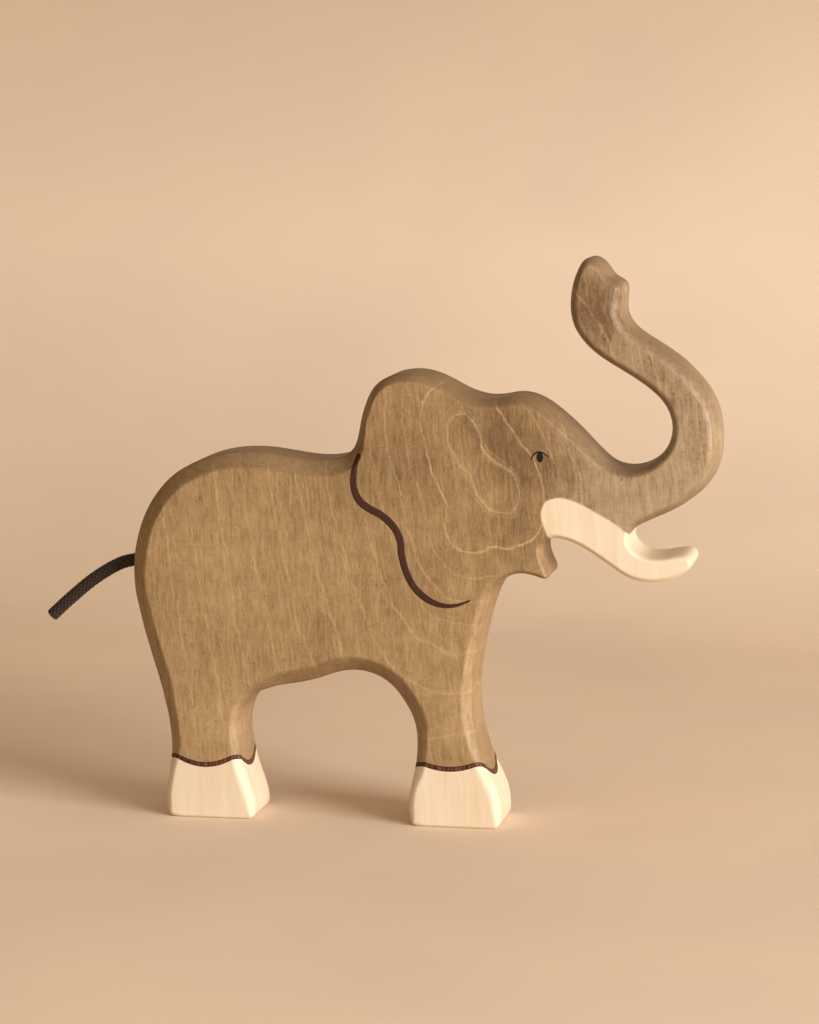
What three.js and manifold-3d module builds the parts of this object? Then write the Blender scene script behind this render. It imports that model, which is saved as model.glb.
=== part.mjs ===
// A wooden toy elephant, sawn from one board and stood on two leg blocks, with its trunk raised.
// A short braided cord is glued into a blind hole in the rump as a tail, and thick paint draws
// the ear, the eyes, the lashes and a band round each ankle.
// Millimetres, +Z up, +X towards the trunk, soles at z = 0, the board centred on y = 0.
import * as THREE from "three";
import { mergeVertices } from "three/addons/utils/BufferGeometryUtils.js";
import Module from "manifold-3d";

// The board
const OVERALL_LENGTH = 178.4; // rump to the bend of the trunk
const OVERALL_HEIGHT = 172; // soles to the tip of the trunk
const BOARD_THICKNESS = 24;

// How each part's edges are eased: width across the flat face, depth into the thickness
const TORSO_EDGE = { width: 4.5, depth: 4.5 };
const LEG_EDGE = { width: 2.5, depth: 2.5 };
const HEAD_EDGE = { width: 2.2, depth: 4 };
const TRUNK_EDGE = { width: 2, depth: 7 };
const TUSK_EDGE = { width: 1.3, depth: 4.5 }; // also the lip

// The tail and its hole
const TAIL_DIAMETER = 4;
const TAIL_HOLE_DEPTH = 13;
const TAIL_HOLE_CLEARANCE = 0.4; // round the cord
const TAIL_GLUE_THICKNESS = 1.4;
const TAIL_GAP = 0.3; // between the cord's end, the glue and the bottom of the hole

// The paint
const PAINT_THICKNESS = 0.3;
const PAINT_CLEARANCE = 0.1; // between a coat and the wood
const EAR_LINE_WIDTH = 2.4; // at its widest
const EAR_LINE_START_WIDTH = 1.4;
const EAR_LINE_END_WIDTH = 0.6;
const EYE_WIDTH = 2.1;
const EYE_HEIGHT = 3.1;
const LASH_WIDTH = 0.5;
const LASH_CLEARANCE = 0.25; // between the lash and the eye
const LASH_OVERHANG = 0.6; // past the eye on each side
const LASH_DROP = 0.2; // of its ends below the middle of the eye
const BAND_HEIGHT = 1.6;
const BAND_LEVEL = 20.6; // middle of a band at the corners of its leg
const REAR_BAND_DIP = 4; // across the flat faces
const FRONT_BAND_DIP = 2.6;
const BAND_DIP_ON_EDGES = 5;

// How finely curves are cut
const SPLINE_STEPS = 4;
const HOLE_SIDES = 24;
const CORD_SIDES = 8;
const CORD_STEPS = 9;
const BAND_STEPS = 16;

// The outline is drawn for a board of this length and height, and stretched to the real one.
const DRAWN_LENGTH = 178.4;
const DRAWN_HEIGHT = 172;

const wasm = await Module();
wasm.setup();

const stainedWood = new THREE.MeshStandardMaterial({ color: 0xa8865e, roughness: 0.55, metalness: 0 });
const darkCord = new THREE.MeshStandardMaterial({ color: 0x33261c, roughness: 0.9, metalness: 0 });
const clearGlue = new THREE.MeshStandardMaterial({ color: 0xd8cba6, roughness: 0.35, metalness: 0 });
const brownPaint = new THREE.MeshStandardMaterial({ color: 0x4a2a20, roughness: 0.5, metalness: 0 });
const blackPaint = new THREE.MeshStandardMaterial({ color: 0x101010, roughness: 0.4, metalness: 0 });

// ---------------------------------------------------------------- outlines

// A point of the drawn outline, x along the elephant and z up, at the real size.
function at([x, z]) {
  return new THREE.Vector2((x * OVERALL_LENGTH) / DRAWN_LENGTH, (z * OVERALL_HEIGHT) / DRAWN_HEIGHT);
}

// One run of an outline: straight through its points, or on a smooth curve through them.
const straight = (points) => (shape) => points.map(at).forEach(({ x, y }) => shape.lineTo(x, y));
const smooth = (points) => (shape) => shape.splineThru(points.map(at));

// A rounded tip: part of a circle, its angles in degrees anticlockwise from straight forward.
function tip({ centre, radius, from, to }) {
  const steps = 8;
  const points = Array.from({ length: steps + 1 }, (_, i) => {
    const angle = THREE.MathUtils.degToRad(THREE.MathUtils.lerp(from, to, i / steps));
    return [centre[0] + radius * Math.cos(angle), centre[1] + radius * Math.sin(angle)];
  });
  return straight(points);
}

// A closed shape from a starting point and the runs that follow it.
function outline(start, ...runs) {
  const shape = new THREE.Shape();
  const { x, y } = at(start);
  shape.moveTo(x, y);
  runs.forEach((addRun) => addRun(shape));
  return shape;
}

// The outer edge, run by run, anticlockwise from the hind sole.
const HIND_HEEL = [-77.6, 0];
const HIND_TOE = [[-51.8, 0], [-51.2, 4.2]];
const HIND_LEG_FRONT = [[-52.2, 8.2], [-53.8, 12.7], [-55.3, 17.6], [-56.2, 23], [-56.5, 28]];
const ARCH_CORNER = [[-55.8, 32], [-55.1, 34], [-54, 35.8], [-52.5, 37.6], [-50.6, 39]];
const ARCH = [
  [-45, 41], [-38, 42.2], [-31.6, 43.8], [-26, 45.8], [-20.4, 46.7],
  [-14.8, 45.7], [-9.6, 42.8], [-5.5, 38], [-2.5, 32.4],
];
const FRONT_LEG_BACK = [
  [-1.3, 27.4], [-1.2, 22.5], [-1.6, 18.2], [-2.3, 14.6], [-3, 11], [-3.5, 7.2], [-3.4, 4],
];
const FRONT_HEEL = [-2.4, 0];
const FRONT_TOE = [[23.8, 0], [24.7, 5]];
const FRONT_LEG_FRONT = [[24, 9.4], [22.3, 13.7], [20.4, 17.4], [18.9, 21.2], [17.6, 25.4], [16.4, 30]];
const CHEST = [[15.6, 35.5], [15.5, 41.5], [16.1, 48], [17.3, 55], [18.9, 62], [20.6, 68]];
const THROAT = [22.9, 73.2];
const CHIN = [[25.4, 76], [28.8, 77.6], [32, 77.6], [35.2, 76.8]];
const LIP = [[38.8, 75.6], [38.4, 78.8]];
const MOUTH = [[37.4, 81.4], [36.6, 84.4], [37, 87]];
const TUSK_UNDERSIDE = [
  [39.2, 88.6], [42.8, 88.3], [46.7, 87], [50.7, 84.8], [54.7, 82.2], [58.6, 79.5],
  [62.6, 77.2], [67.4, 76.1], [72.2, 76.4], [76.4, 77.7],
];
const TUSK_TIP = { centre: [79.1, 82.2], radius: 2.5, from: -45, to: 110 };
const TUSK_TOP = [[75.8, 84.3], [73.1, 83.7], [69.8, 83.4], [66.6, 83.8], [64.1, 85.4], [62.2, 88]];
const TRUNK_OUTSIDE = [
  [63.4, 91.6], [67.2, 93.8], [71.7, 95.9], [76.1, 98], [80.4, 100.7], [84.1, 103.8], [87, 107.6],
  [88.6, 112], [89.2, 116.5], [89.2, 121], [88.5, 125.5], [87, 129.9], [84.6, 134], [81.1, 138.1],
  [77.3, 141.6], [73.5, 144.3], [69.4, 146.9], [65.5, 149.3], [62.3, 151.9],
];
const TRUNK_LIP = [[60.4, 155.2], [60.2, 159], [60.1, 162.4], [59, 164.6], [57.2, 165.6], [55.4, 167.8]];
const TRUNK_TIP = { centre: [50.1, 168.8], radius: 3.2, from: 40, to: 150 };
const TRUNK_INSIDE = [
  [45.3, 165.6], [44.4, 161], [44.3, 156.2], [45.3, 151.9], [47.4, 148.3], [50.1, 145.3], [53.3, 142.7],
  [56.9, 140.4], [60.7, 138.2], [64.4, 135.9], [68.1, 133.3], [71.3, 130.4], [73.6, 127], [74.7, 123.2],
  [74.5, 119.3], [72.9, 115.6], [70.2, 112.6], [66.6, 110.4],
];
const CURL = [[62.4, 109.5], [58.9, 109.9], [55.8, 111.3]];
const HEAD_TOP = [
  [50.4, 116.2], [45.2, 121.3], [40.6, 125.3], [36.3, 128.4], [32, 130.3], [27.7, 130.8], [23.5, 130],
  [19.5, 129.7], [15.9, 130.3], [12.1, 131.6], [7.9, 133.8], [3.6, 135.8], [-1, 137], [-5.7, 137],
  [-9.8, 136], [-13.2, 134], [-15.6, 131], [-17.3, 126.8], [-18.5, 122.4], [-19.2, 118.4],
];
const NAPE = [[-20.4, 114.6], [-23, 112]];
const BACK = [
  [-27, 110.8], [-32.4, 110.4], [-37.7, 110.9], [-43.3, 111.7], [-48.8, 112.4], [-54.5, 112.5], [-60, 112],
];
const RUMP = [
  [-66, 110.5], [-71, 108.3], [-75.6, 105.6], [-80, 101.5], [-83.6, 96.5], [-86.3, 91], [-88, 85.4],
  [-89, 80], [-89.2, 74.6], [-88.8, 69], [-87.5, 63], [-86, 56.8], [-83.9, 49.7], [-81.7, 42.6],
];
const HAM = [-79.8, 36];
const HIND_LEG_BACK = [
  [-78.5, 31.2], [-77.9, 26.8], [-77.5, 22.5], [-77.4, 18.4], [-77.8, 14.4], [-78.5, 10.6], [-79, 6.6],
];

// Where each slab ends inside its neighbour.
const TORSO_INSIDE_HEAD = [[27, 82], [20, 100], [0, 112], [-14, 110.5]];
const TORSO_INSIDE_FRONT_LEG = [[2, 17], [14, 17]];
const TORSO_INSIDE_HIND_LEG = [[-74, 17], [-60, 17]];
const HIND_LEG_INSIDE_TORSO = [[-55, 48], [-72, 48]];
const FRONT_LEG_INSIDE_TORSO = [[12, 48], [3, 48]];
const HEAD_INSIDE_TORSO = [[-27, 100], [-14, 84], [6, 74], [24, 82]];
const HEAD_INSIDE_TUSK = [[44, 94], [57, 87]];
const HEAD_INSIDE_TRUNK = [[67, 98], [67, 104]];
const TRUNK_INSIDE_HEAD = [[60, 105], [53, 104], [54, 92]];
const TUSK_INSIDE_HEAD = [[57, 95], [46, 100], [28, 94], [14, 82], [15, 70]];

const torsoOutline = () =>
  outline(
    TORSO_INSIDE_HIND_LEG[1],
    straight([...HIND_LEG_FRONT.slice(-2), ...ARCH_CORNER]),
    smooth([...ARCH, FRONT_LEG_BACK[0]]),
    straight([FRONT_LEG_BACK[1], ...TORSO_INSIDE_FRONT_LEG, ...FRONT_LEG_FRONT.slice(-2)]),
    smooth(CHEST),
    straight([THROAT, ...TORSO_INSIDE_HEAD, BACK[0]]),
    smooth([...BACK.slice(1), ...RUMP, HAM, HIND_LEG_BACK[0]]),
    straight([HIND_LEG_BACK[1], TORSO_INSIDE_HIND_LEG[0]]),
  );

const hindLegOutline = () =>
  outline(
    HIND_HEEL,
    straight(HIND_TOE),
    smooth(HIND_LEG_FRONT),
    straight([...ARCH_CORNER, ...HIND_LEG_INSIDE_TORSO, HAM, HIND_LEG_BACK[0]]),
    smooth(HIND_LEG_BACK.slice(1)),
  );

const frontLegOutline = () =>
  outline(
    FRONT_HEEL,
    straight(FRONT_TOE),
    smooth(FRONT_LEG_FRONT),
    straight([CHEST[0], ...FRONT_LEG_INSIDE_TORSO, ARCH.at(-1), FRONT_LEG_BACK[0]]),
    smooth(FRONT_LEG_BACK.slice(1)),
  );

const headOutline = () =>
  outline(
    HEAD_INSIDE_TORSO[0],
    straight([...HEAD_INSIDE_TORSO.slice(1), ...HEAD_INSIDE_TUSK, ...HEAD_INSIDE_TRUNK, CURL[0], CURL[1]]),
    smooth([CURL[2], ...HEAD_TOP, ...NAPE]),
    straight([BACK[0]]),
  );

const trunkOutline = () =>
  outline(
    TRUNK_INSIDE_HEAD.at(-1),
    straight([TRUNK_OUTSIDE[0], TRUNK_OUTSIDE[1]]),
    smooth([...TRUNK_OUTSIDE.slice(2), ...TRUNK_LIP]),
    tip(TRUNK_TIP),
    smooth(TRUNK_INSIDE),
    straight([CURL[0], ...TRUNK_INSIDE_HEAD.slice(0, -1)]),
  );

const tuskOutline = () =>
  outline(
    TUSK_INSIDE_HEAD.at(-1),
    straight([CHEST.at(-1), THROAT]),
    smooth(CHIN),
    straight(LIP),
    smooth([...MOUTH, ...TUSK_UNDERSIDE]),
    tip(TUSK_TIP),
    smooth(TUSK_TOP),
    straight(TUSK_INSIDE_HEAD.slice(0, -1)),
  );

// ---------------------------------------------------------------- solids

// A closed geometry as a solid that can be joined and cut.
function solidOf(geometry) {
  const bare = geometry.index ? geometry.toNonIndexed() : geometry.clone();
  bare.deleteAttribute("normal");
  bare.deleteAttribute("uv");
  const merged = mergeVertices(bare, 1e-4);
  return new wasm.Manifold(
    new wasm.Mesh({
      numProp: 3,
      vertProperties: new Float32Array(merged.attributes.position.array),
      triVerts: new Uint32Array(merged.index.array),
    }),
  );
}

// A solid as a geometry for a mesh.
function geometryOf(solid) {
  const { vertProperties, triVerts } = solid.getMesh();
  const geometry = new THREE.BufferGeometry();
  geometry.setAttribute("position", new THREE.BufferAttribute(new Float32Array(vertProperties), 3));
  geometry.setIndex(new THREE.BufferAttribute(new Uint32Array(triVerts), 1));
  geometry.computeVertexNormals();
  return geometry;
}

// A shape in x and z, sawn from the board with its edges eased all round, grown outwards by growth.
function slab(shape, edge, growth = 0) {
  const depth = BOARD_THICKNESS + 2 * growth - 2 * edge.depth;
  const geometry = new THREE.ExtrudeGeometry(shape, {
    depth,
    bevelThickness: edge.depth,
    bevelSize: edge.width,
    bevelOffset: growth - edge.width,
    bevelSegments: 1,
    curveSegments: SPLINE_STEPS,
  });
  geometry.translate(0, 0, -depth / 2);
  geometry.rotateX(Math.PI / 2);
  return solidOf(geometry);
}

// A thin coat on one flat face of the board: side is -1 on the right face, +1 on the left face.
function coat(shape, side) {
  const geometry = new THREE.ExtrudeGeometry(shape, {
    depth: PAINT_THICKNESS,
    bevelEnabled: false,
    curveSegments: SPLINE_STEPS * 2,
  });
  const innerFace = BOARD_THICKNESS / 2 + PAINT_CLEARANCE;
  geometry.rotateX(Math.PI / 2);
  geometry.translate(0, side > 0 ? innerFace + PAINT_THICKNESS : -innerFace, 0);
  return geometry;
}

// A painted stroke along a curve: its width changes from start to end by widthAt(0 to 1).
function stroke(curve, widthAt, steps) {
  const left = [];
  const right = [];
  for (let i = 0; i <= steps; i++) {
    const t = i / steps;
    const middle = curve.getPointAt(t);
    const along = curve.getTangentAt(t);
    const across = new THREE.Vector2(-along.y, along.x).multiplyScalar(widthAt(t) / 2);
    left.push(middle.clone().add(across));
    right.unshift(middle.clone().sub(across));
  }
  return new THREE.Shape([...right.reverse(), ...left.reverse()]);
}

// ---------------------------------------------------------------- the board

// The level of the rump where the tail leaves it, and the rump's edge at that level.
const TAIL_MOUTH = at([-89.1, 77.6]);

// The blind hole for the tail, drilled straight into the rump.
function tailHole() {
  const radius = TAIL_DIAMETER / 2 + TAIL_HOLE_CLEARANCE;
  const length = TAIL_HOLE_DEPTH + TORSO_EDGE.width;
  const geometry = new THREE.CylinderGeometry(radius, radius, length, HOLE_SIDES);
  geometry.rotateZ(Math.PI / 2);
  geometry.translate(TAIL_MOUTH.x + TAIL_HOLE_DEPTH - length / 2, 0, TAIL_MOUTH.y);
  return solidOf(geometry);
}

function bodyGeometry() {
  const board = slab(torsoOutline(), TORSO_EDGE)
    .add(slab(hindLegOutline(), LEG_EDGE))
    .add(slab(frontLegOutline(), LEG_EDGE))
    .add(slab(headOutline(), HEAD_EDGE))
    .add(slab(trunkOutline(), TRUNK_EDGE))
    .add(slab(tuskOutline(), TUSK_EDGE));
  return geometryOf(board.subtract(tailHole()));
}

// ---------------------------------------------------------------- the tail

// The cord's middle line: straight in the hole, then a gentle droop. Each point is measured from the mouth.
const TAIL_ROUTE = [
  [0, 0], [-2.5, -0.3], [-5.6, -1.1], [-8.8, -2.6], [-12.3, -4.7], [-14.2, -6], [-16, -7.3],
  [-19.2, -9.9], [-22.4, -12.7], [-24, -14.1], [-25.5, -15.5], [-28.7, -18.5],
];
const TAIL_BURIED = TAIL_HOLE_DEPTH - TAIL_GLUE_THICKNESS - 2 * TAIL_GAP;

function tailCordGeometry() {
  const inHole = [1, 2 / 3, 1 / 3].map((share) => [TAIL_BURIED * share, 0]);
  const route = [...inHole, ...TAIL_ROUTE];
  const points = route.map(([x, z]) => new THREE.Vector3(TAIL_MOUTH.x + x, 0, TAIL_MOUTH.y + z));
  const section = new THREE.Shape();
  section.absarc(0, 0, TAIL_DIAMETER / 2, 0, 2 * Math.PI);
  return new THREE.ExtrudeGeometry(section, {
    steps: CORD_STEPS,
    curveSegments: CORD_SIDES,
    bevelEnabled: false,
    extrudePath: new THREE.CatmullRomCurve3(points, false, "centripetal"),
  });
}

function tailGlueGeometry() {
  const radius = TAIL_DIAMETER / 2;
  const geometry = new THREE.CylinderGeometry(radius, radius, TAIL_GLUE_THICKNESS, HOLE_SIDES);
  geometry.rotateZ(Math.PI / 2);
  const bottom = TAIL_MOUTH.x + TAIL_HOLE_DEPTH;
  geometry.translate(bottom - TAIL_GAP - TAIL_GLUE_THICKNESS / 2, 0, TAIL_MOUTH.y);
  return geometry;
}

// ---------------------------------------------------------------- the paint

// The line round the back of the ear, from the nape down and forward under the jaw.
const EAR_LINE = [
  [-18.3, 113], [-19.5, 109.6], [-20, 106], [-19.8, 102.4], [-18.2, 98.8], [-15.4, 96.6], [-11.6, 94.6],
  [-8, 91.4], [-5.9, 87.5], [-5.4, 83], [-4.2, 78.2], [-1.5, 73], [2.8, 69.3], [7, 67.8], [11, 67.9],
  [15.6, 69.6],
];

function earLineShape() {
  const curve = new THREE.SplineCurve(EAR_LINE.map(at));
  const widening = 0.25; // share of the line over which it reaches its full width
  const widthAt = (t) => {
    if (t < widening) return THREE.MathUtils.lerp(EAR_LINE_START_WIDTH, EAR_LINE_WIDTH, t / widening);
    const narrowing = (t - widening) / (1 - widening);
    return THREE.MathUtils.lerp(EAR_LINE_WIDTH, EAR_LINE_END_WIDTH, narrowing ** 3);
  };
  return stroke(curve, widthAt, 40);
}

const EYE_CENTRE = at([36.2, 113]);

function eyeShape() {
  const shape = new THREE.Shape();
  shape.absellipse(EYE_CENTRE.x, EYE_CENTRE.y, EYE_WIDTH / 2, EYE_HEIGHT / 2, 0, 2 * Math.PI);
  return shape;
}

// The lash is an arch over the eye, a little wider than it.
function lashShape() {
  const clear = LASH_CLEARANCE + LASH_WIDTH / 2;
  const reach = EYE_WIDTH / 2 + clear + LASH_OVERHANG;
  const rise = EYE_HEIGHT / 2 + clear + LASH_DROP;
  const arch = new THREE.EllipseCurve(EYE_CENTRE.x, EYE_CENTRE.y - LASH_DROP, reach, rise, Math.PI, 0, true);
  return stroke(arch, () => LASH_WIDTH, 12);
}

// The thin skin that a coat of paint makes round a leg.
function legSkin(shape) {
  const outside = slab(shape, LEG_EDGE, PAINT_CLEARANCE + PAINT_THICKNESS);
  return outside.subtract(slab(shape, LEG_EDGE, PAINT_CLEARANCE));
}

// A band round an ankle: level at the corners of the leg, dipping across its faces and its edges.
function bandGeometry(legShape, back, front, dipOnFaces) {
  const reach = 2; // how far the cutting slab stands out past the leg
  const middle = (back + front) / 2;
  const halfWidth = (front - back) / 2;
  const cutter = new THREE.BoxGeometry(
    front - back + 2 * reach, BOARD_THICKNESS + 2 * reach, BAND_HEIGHT, BAND_STEPS, BAND_STEPS, 1,
  );
  const places = cutter.attributes.position;
  for (let i = 0; i < places.count; i++) {
    const u = Math.min(Math.abs(places.getX(i)) / halfWidth, 1);
    const v = Math.min(Math.abs(places.getY(i)) / (BOARD_THICKNESS / 2), 1);
    const dip = dipOnFaces * (1 - u * u) + BAND_DIP_ON_EDGES * (1 - v * v);
    places.setZ(i, places.getZ(i) + BAND_LEVEL - dip);
  }
  cutter.translate(middle, 0, 0);
  return geometryOf(legSkin(legShape).intersect(solidOf(cutter)));
}

const REAR_ANKLE = [[-77.5, 18.4], [-55.6, 18.4]];
const FRONT_ANKLE = [[-1.4, 18.4], [19, 18.4]];

function rearBandGeometry() {
  const [back, front] = REAR_ANKLE.map(at);
  return bandGeometry(hindLegOutline(), back.x, front.x, REAR_BAND_DIP);
}

function frontBandGeometry() {
  const [back, front] = FRONT_ANKLE.map(at);
  return bandGeometry(frontLegOutline(), back.x, front.x, FRONT_BAND_DIP);
}

// ---------------------------------------------------------------- the assembly

const elephant = new THREE.Group();
elephant.name = "wooden_elephant";

function addPiece(name, geometry, material) {
  const mesh = new THREE.Mesh(geometry, material);
  mesh.name = name;
  elephant.add(mesh);
}

addPiece("body", bodyGeometry(), stainedWood);
addPiece("tail_cord", tailCordGeometry(), darkCord);
addPiece("tail_glue", tailGlueGeometry(), clearGlue);
for (const [sideName, side] of [["right", -1], ["left", 1]]) {
  addPiece(`ear_line_${sideName}`, coat(earLineShape(), side), brownPaint);
  addPiece(`eye_${sideName}`, coat(eyeShape(), side), blackPaint);
  addPiece(`eyelash_${sideName}`, coat(lashShape(), side), blackPaint);
}
addPiece("rear_ankle_band", rearBandGeometry(), brownPaint);
addPiece("front_ankle_band", frontBandGeometry(), brownPaint);

export default elephant;
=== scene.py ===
"""A flat wooden toy elephant, sawn from one board of maple, with a cord tail and painted lines.

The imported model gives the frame: every size below is in millimetres on the drawn board and is
stretched to the CAD body's own box. Finished pieces are in metres.
"""
import logging
import math
from dataclasses import dataclass
from enum import Enum
from typing import Callable, Sequence

import bmesh
import bpy
import numpy as np
from mathutils import Matrix, Vector
from mathutils.bvhtree import BVHTree


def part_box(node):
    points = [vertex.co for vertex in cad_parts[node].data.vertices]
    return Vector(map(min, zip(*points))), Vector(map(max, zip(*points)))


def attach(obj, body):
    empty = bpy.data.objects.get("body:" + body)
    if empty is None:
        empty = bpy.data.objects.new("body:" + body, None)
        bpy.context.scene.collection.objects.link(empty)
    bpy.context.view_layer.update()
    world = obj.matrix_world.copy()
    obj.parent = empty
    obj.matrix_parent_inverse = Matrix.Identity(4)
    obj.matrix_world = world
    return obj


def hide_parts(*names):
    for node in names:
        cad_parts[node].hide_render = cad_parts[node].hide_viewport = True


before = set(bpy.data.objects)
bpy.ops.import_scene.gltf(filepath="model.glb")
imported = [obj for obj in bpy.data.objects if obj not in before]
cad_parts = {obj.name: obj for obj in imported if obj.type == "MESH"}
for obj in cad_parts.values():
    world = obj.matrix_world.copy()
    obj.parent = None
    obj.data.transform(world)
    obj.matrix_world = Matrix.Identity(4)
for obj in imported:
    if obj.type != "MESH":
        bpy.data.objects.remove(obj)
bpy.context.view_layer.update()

LOG = logging.getLogger("elephant")
MM = 0.001
CLEAR_OF_WOOD = 40.0  # millimetres from the board's middle, well outside its faces
RAMP_SPAN = 100.0  # millimetres of ring distance on one colour ramp
Point = tuple[float, float]
Socket = bpy.types.NodeSocket
SurfacePlace = Callable[[float, float], tuple[Vector, Vector]]


# ---------------------------------------------------------------- shared helpers


class Side(Enum):
    """The two flat faces of the board, by the sign of Y that they face."""

    RIGHT = -1
    LEFT = 1


def linear(hex_colour: str) -> tuple[float, float, float, float]:
    """Turns an sRGB hex colour into a linear one.

    Args:
        hex_colour: Six hex digits after a hash sign.

    Returns:
        Red, green, blue and alpha, linear.
    """
    parts = [int(hex_colour[i : i + 2], 16) / 255 for i in (1, 3, 5)]
    red, green, blue = (c / 12.92 if c <= 0.04045 else ((c + 0.055) / 1.055) ** 2.4 for c in parts)
    return red, green, blue, 1.0


def add(
    tree: bpy.types.NodeTree,
    kind: str,
    inputs: dict | None = None,
    out: int | str = 0,
    stops: Sequence[tuple] = (),
    curve: Sequence[Point] = (),
    **settings: object,
) -> Socket:
    """Adds one node with its settings, and links or fills its inputs.

    Args:
        tree: The material's node tree.
        kind: The node's type without its ShaderNode prefix.
        inputs: Values or sockets by input name or number.
        out: The output to give back.
        stops: Position and colour of each stop, for a colour ramp.
        curve: Points of the curve, for a float curve.
        **settings: Properties of the node.

    Returns:
        The chosen output socket.
    """
    node = tree.nodes.new(f"ShaderNode{kind}")
    for name, value in settings.items():
        setattr(node, name, value)
    for key, value in (inputs or {}).items():
        if isinstance(value, bpy.types.NodeSocket):
            tree.links.new(value, node.inputs[key])
        else:
            node.inputs[key].default_value = value
    if stops:
        ramp = node.color_ramp
        while len(ramp.elements) > 1:
            ramp.elements.remove(ramp.elements[-1])
        ramp.elements[0].position, ramp.elements[0].color = stops[0]
        for position, colour in stops[1:]:
            ramp.elements.new(position).color = colour
    if curve:
        line = node.mapping.curves[0]
        line.points[0].location, line.points[-1].location = curve[0], curve[-1]
        for point in curve[1:-1]:
            line.points.new(*point)
        node.mapping.update()
    return node.outputs[out]


def calc(
    tree: bpy.types.NodeTree, operation: str, *terms: Socket | float, clamped: bool = False
) -> Socket:
    """Adds one sum.

    Args:
        tree: The material's node tree.
        operation: What it does with its terms.
        *terms: Up to three values or sockets.
        clamped: Whether the result is kept between 0 and 1.

    Returns:
        The result.
    """
    return add(tree, "Math", dict(enumerate(terms)), operation=operation, use_clamp=clamped)


def blank_material(
    name: str,
) -> tuple[bpy.types.Material, bpy.types.NodeTree, bpy.types.ShaderNode]:
    """Makes a material with nothing set on it yet.

    Args:
        name: Its name.

    Returns:
        The material, its node tree and its shader.
    """
    material = bpy.data.materials.new(name)
    material.use_nodes = True
    tree = material.node_tree
    return material, tree, tree.nodes["Principled BSDF"]


def mixed(tree: bpy.types.NodeTree, share: Socket, under: Socket, over: Socket | tuple) -> Socket:
    """Lays one colour over another.

    Args:
        tree: The material's node tree.
        share: From 0, where only the lower colour shows, to 1.
        under: The lower colour.
        over: The upper colour.

    Returns:
        The mixed colour.
    """
    return add(tree, "Mix", {0: share, 6: under, 7: over}, out=2, data_type="RGBA")


def smooth_curve(points: Sequence[Sequence[float]], steps: int = 12) -> np.ndarray:
    """Samples a smooth open curve through points of two or three coordinates.

    The slope at each point is shared out by the lengths of the spans on both sides, so the curve
    never swings past a corner.

    Args:
        points: The points that the curve passes through.
        steps: Samples on each span.

    Returns:
        The samples, one row each.
    """
    given = np.array(points, float)
    padded = np.vstack([2 * given[0] - given[1], given, 2 * given[-1] - given[-2]])
    gaps = np.linalg.norm(np.diff(padded, axis=0), axis=1)
    slopes = (padded[2:] - padded[:-2]) / (gaps[1:] + gaps[:-1])[:, None]
    share = (np.arange(steps) / steps)[:, None]
    samples = []
    for i, length in enumerate(gaps[1:-1]):
        start, end = given[i], given[i + 1]
        from_start = share**3 - 2 * share**2 + share
        from_end = share**3 - share**2
        middle = 3 * share**2 - 2 * share**3
        bend = (from_start * slopes[i] + from_end * slopes[i + 1]) * length
        samples.append(start + (end - start) * middle + bend)
    return np.vstack([*samples, given[-1:]])


def evenly(samples: np.ndarray, count: int, closed: bool = False) -> np.ndarray:
    """Spaces points evenly along a line of samples.

    Args:
        samples: The line's samples, one row each, with any extra columns carried along.
        count: How many points to give back.
        closed: Whether the last sample joins the first.

    Returns:
        The evenly spaced rows.
    """
    line = np.vstack([samples, samples[:1]]) if closed else samples
    spans = np.linalg.norm(np.diff(line[:, :2] if line.shape[1] != 3 else line, axis=0), axis=1)
    along = np.concatenate([[0], np.cumsum(spans)])
    wanted = np.linspace(0, along[-1], count + 1)[:-1] if closed else np.linspace(0, along[-1], count)
    return np.column_stack([np.interp(wanted, along, column) for column in line.T])


def shaped_grid(
    bm: bmesh.types.BMesh, columns: int, rows: int, place: Callable[[float, float], Vector]
) -> list[bmesh.types.BMVert]:
    """Makes a grid and puts each of its points where a function says, with a UV map of the shares.

    Args:
        bm: The mesh to add it to.
        columns: Steps along the first share.
        rows: Steps along the second share.
        place: Gives a point in metres from two shares, each from 0 to 1.

    Returns:
        The grid's vertices.
    """
    made = bmesh.ops.create_grid(bm, x_segments=columns, y_segments=rows, size=0.5)["verts"]
    uv_layer = bm.loops.layers.uv.verify()
    for vertex in made:
        for loop in vertex.link_loops:
            loop[uv_layer].uv = (vertex.co.x + 0.5, vertex.co.y + 0.5)
    for vertex in made:
        vertex.co = place(vertex.co.x + 0.5, vertex.co.y + 0.5)
    return made


def finished(name: str, bm: bmesh.types.BMesh, material: bpy.types.Material) -> bpy.types.Object:
    """Makes a finished piece from a bmesh and lets it ride on the part.

    Args:
        name: The piece's name.
        bm: The mesh, which is freed.
        material: The finish.

    Returns:
        The object, at the origin.
    """
    mesh = bpy.data.meshes.new(name)
    bm.to_mesh(mesh)
    bm.free()
    for polygon in mesh.polygons:
        polygon.use_smooth = True
    piece = bpy.data.objects.new(name, mesh)
    bpy.context.scene.collection.objects.link(piece)
    mesh.materials.append(material)
    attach(piece, "root")
    LOG.info("%s: %d faces", name, len(mesh.polygons))
    return piece


# ---------------------------------------------------------------- the camera and the studio


@dataclass(frozen=True)
class Lamp:
    """A square soft light that points at the middle of the elephant.

    Attributes:
        name: Its name.
        place: Where it hangs, in metres.
        size: Its side in metres.
        watts: Its power.
        colour: Its colour in sRGB hex.
    """

    name: str
    place: tuple[float, float, float]
    size: float
    watts: float
    colour: str


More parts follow.
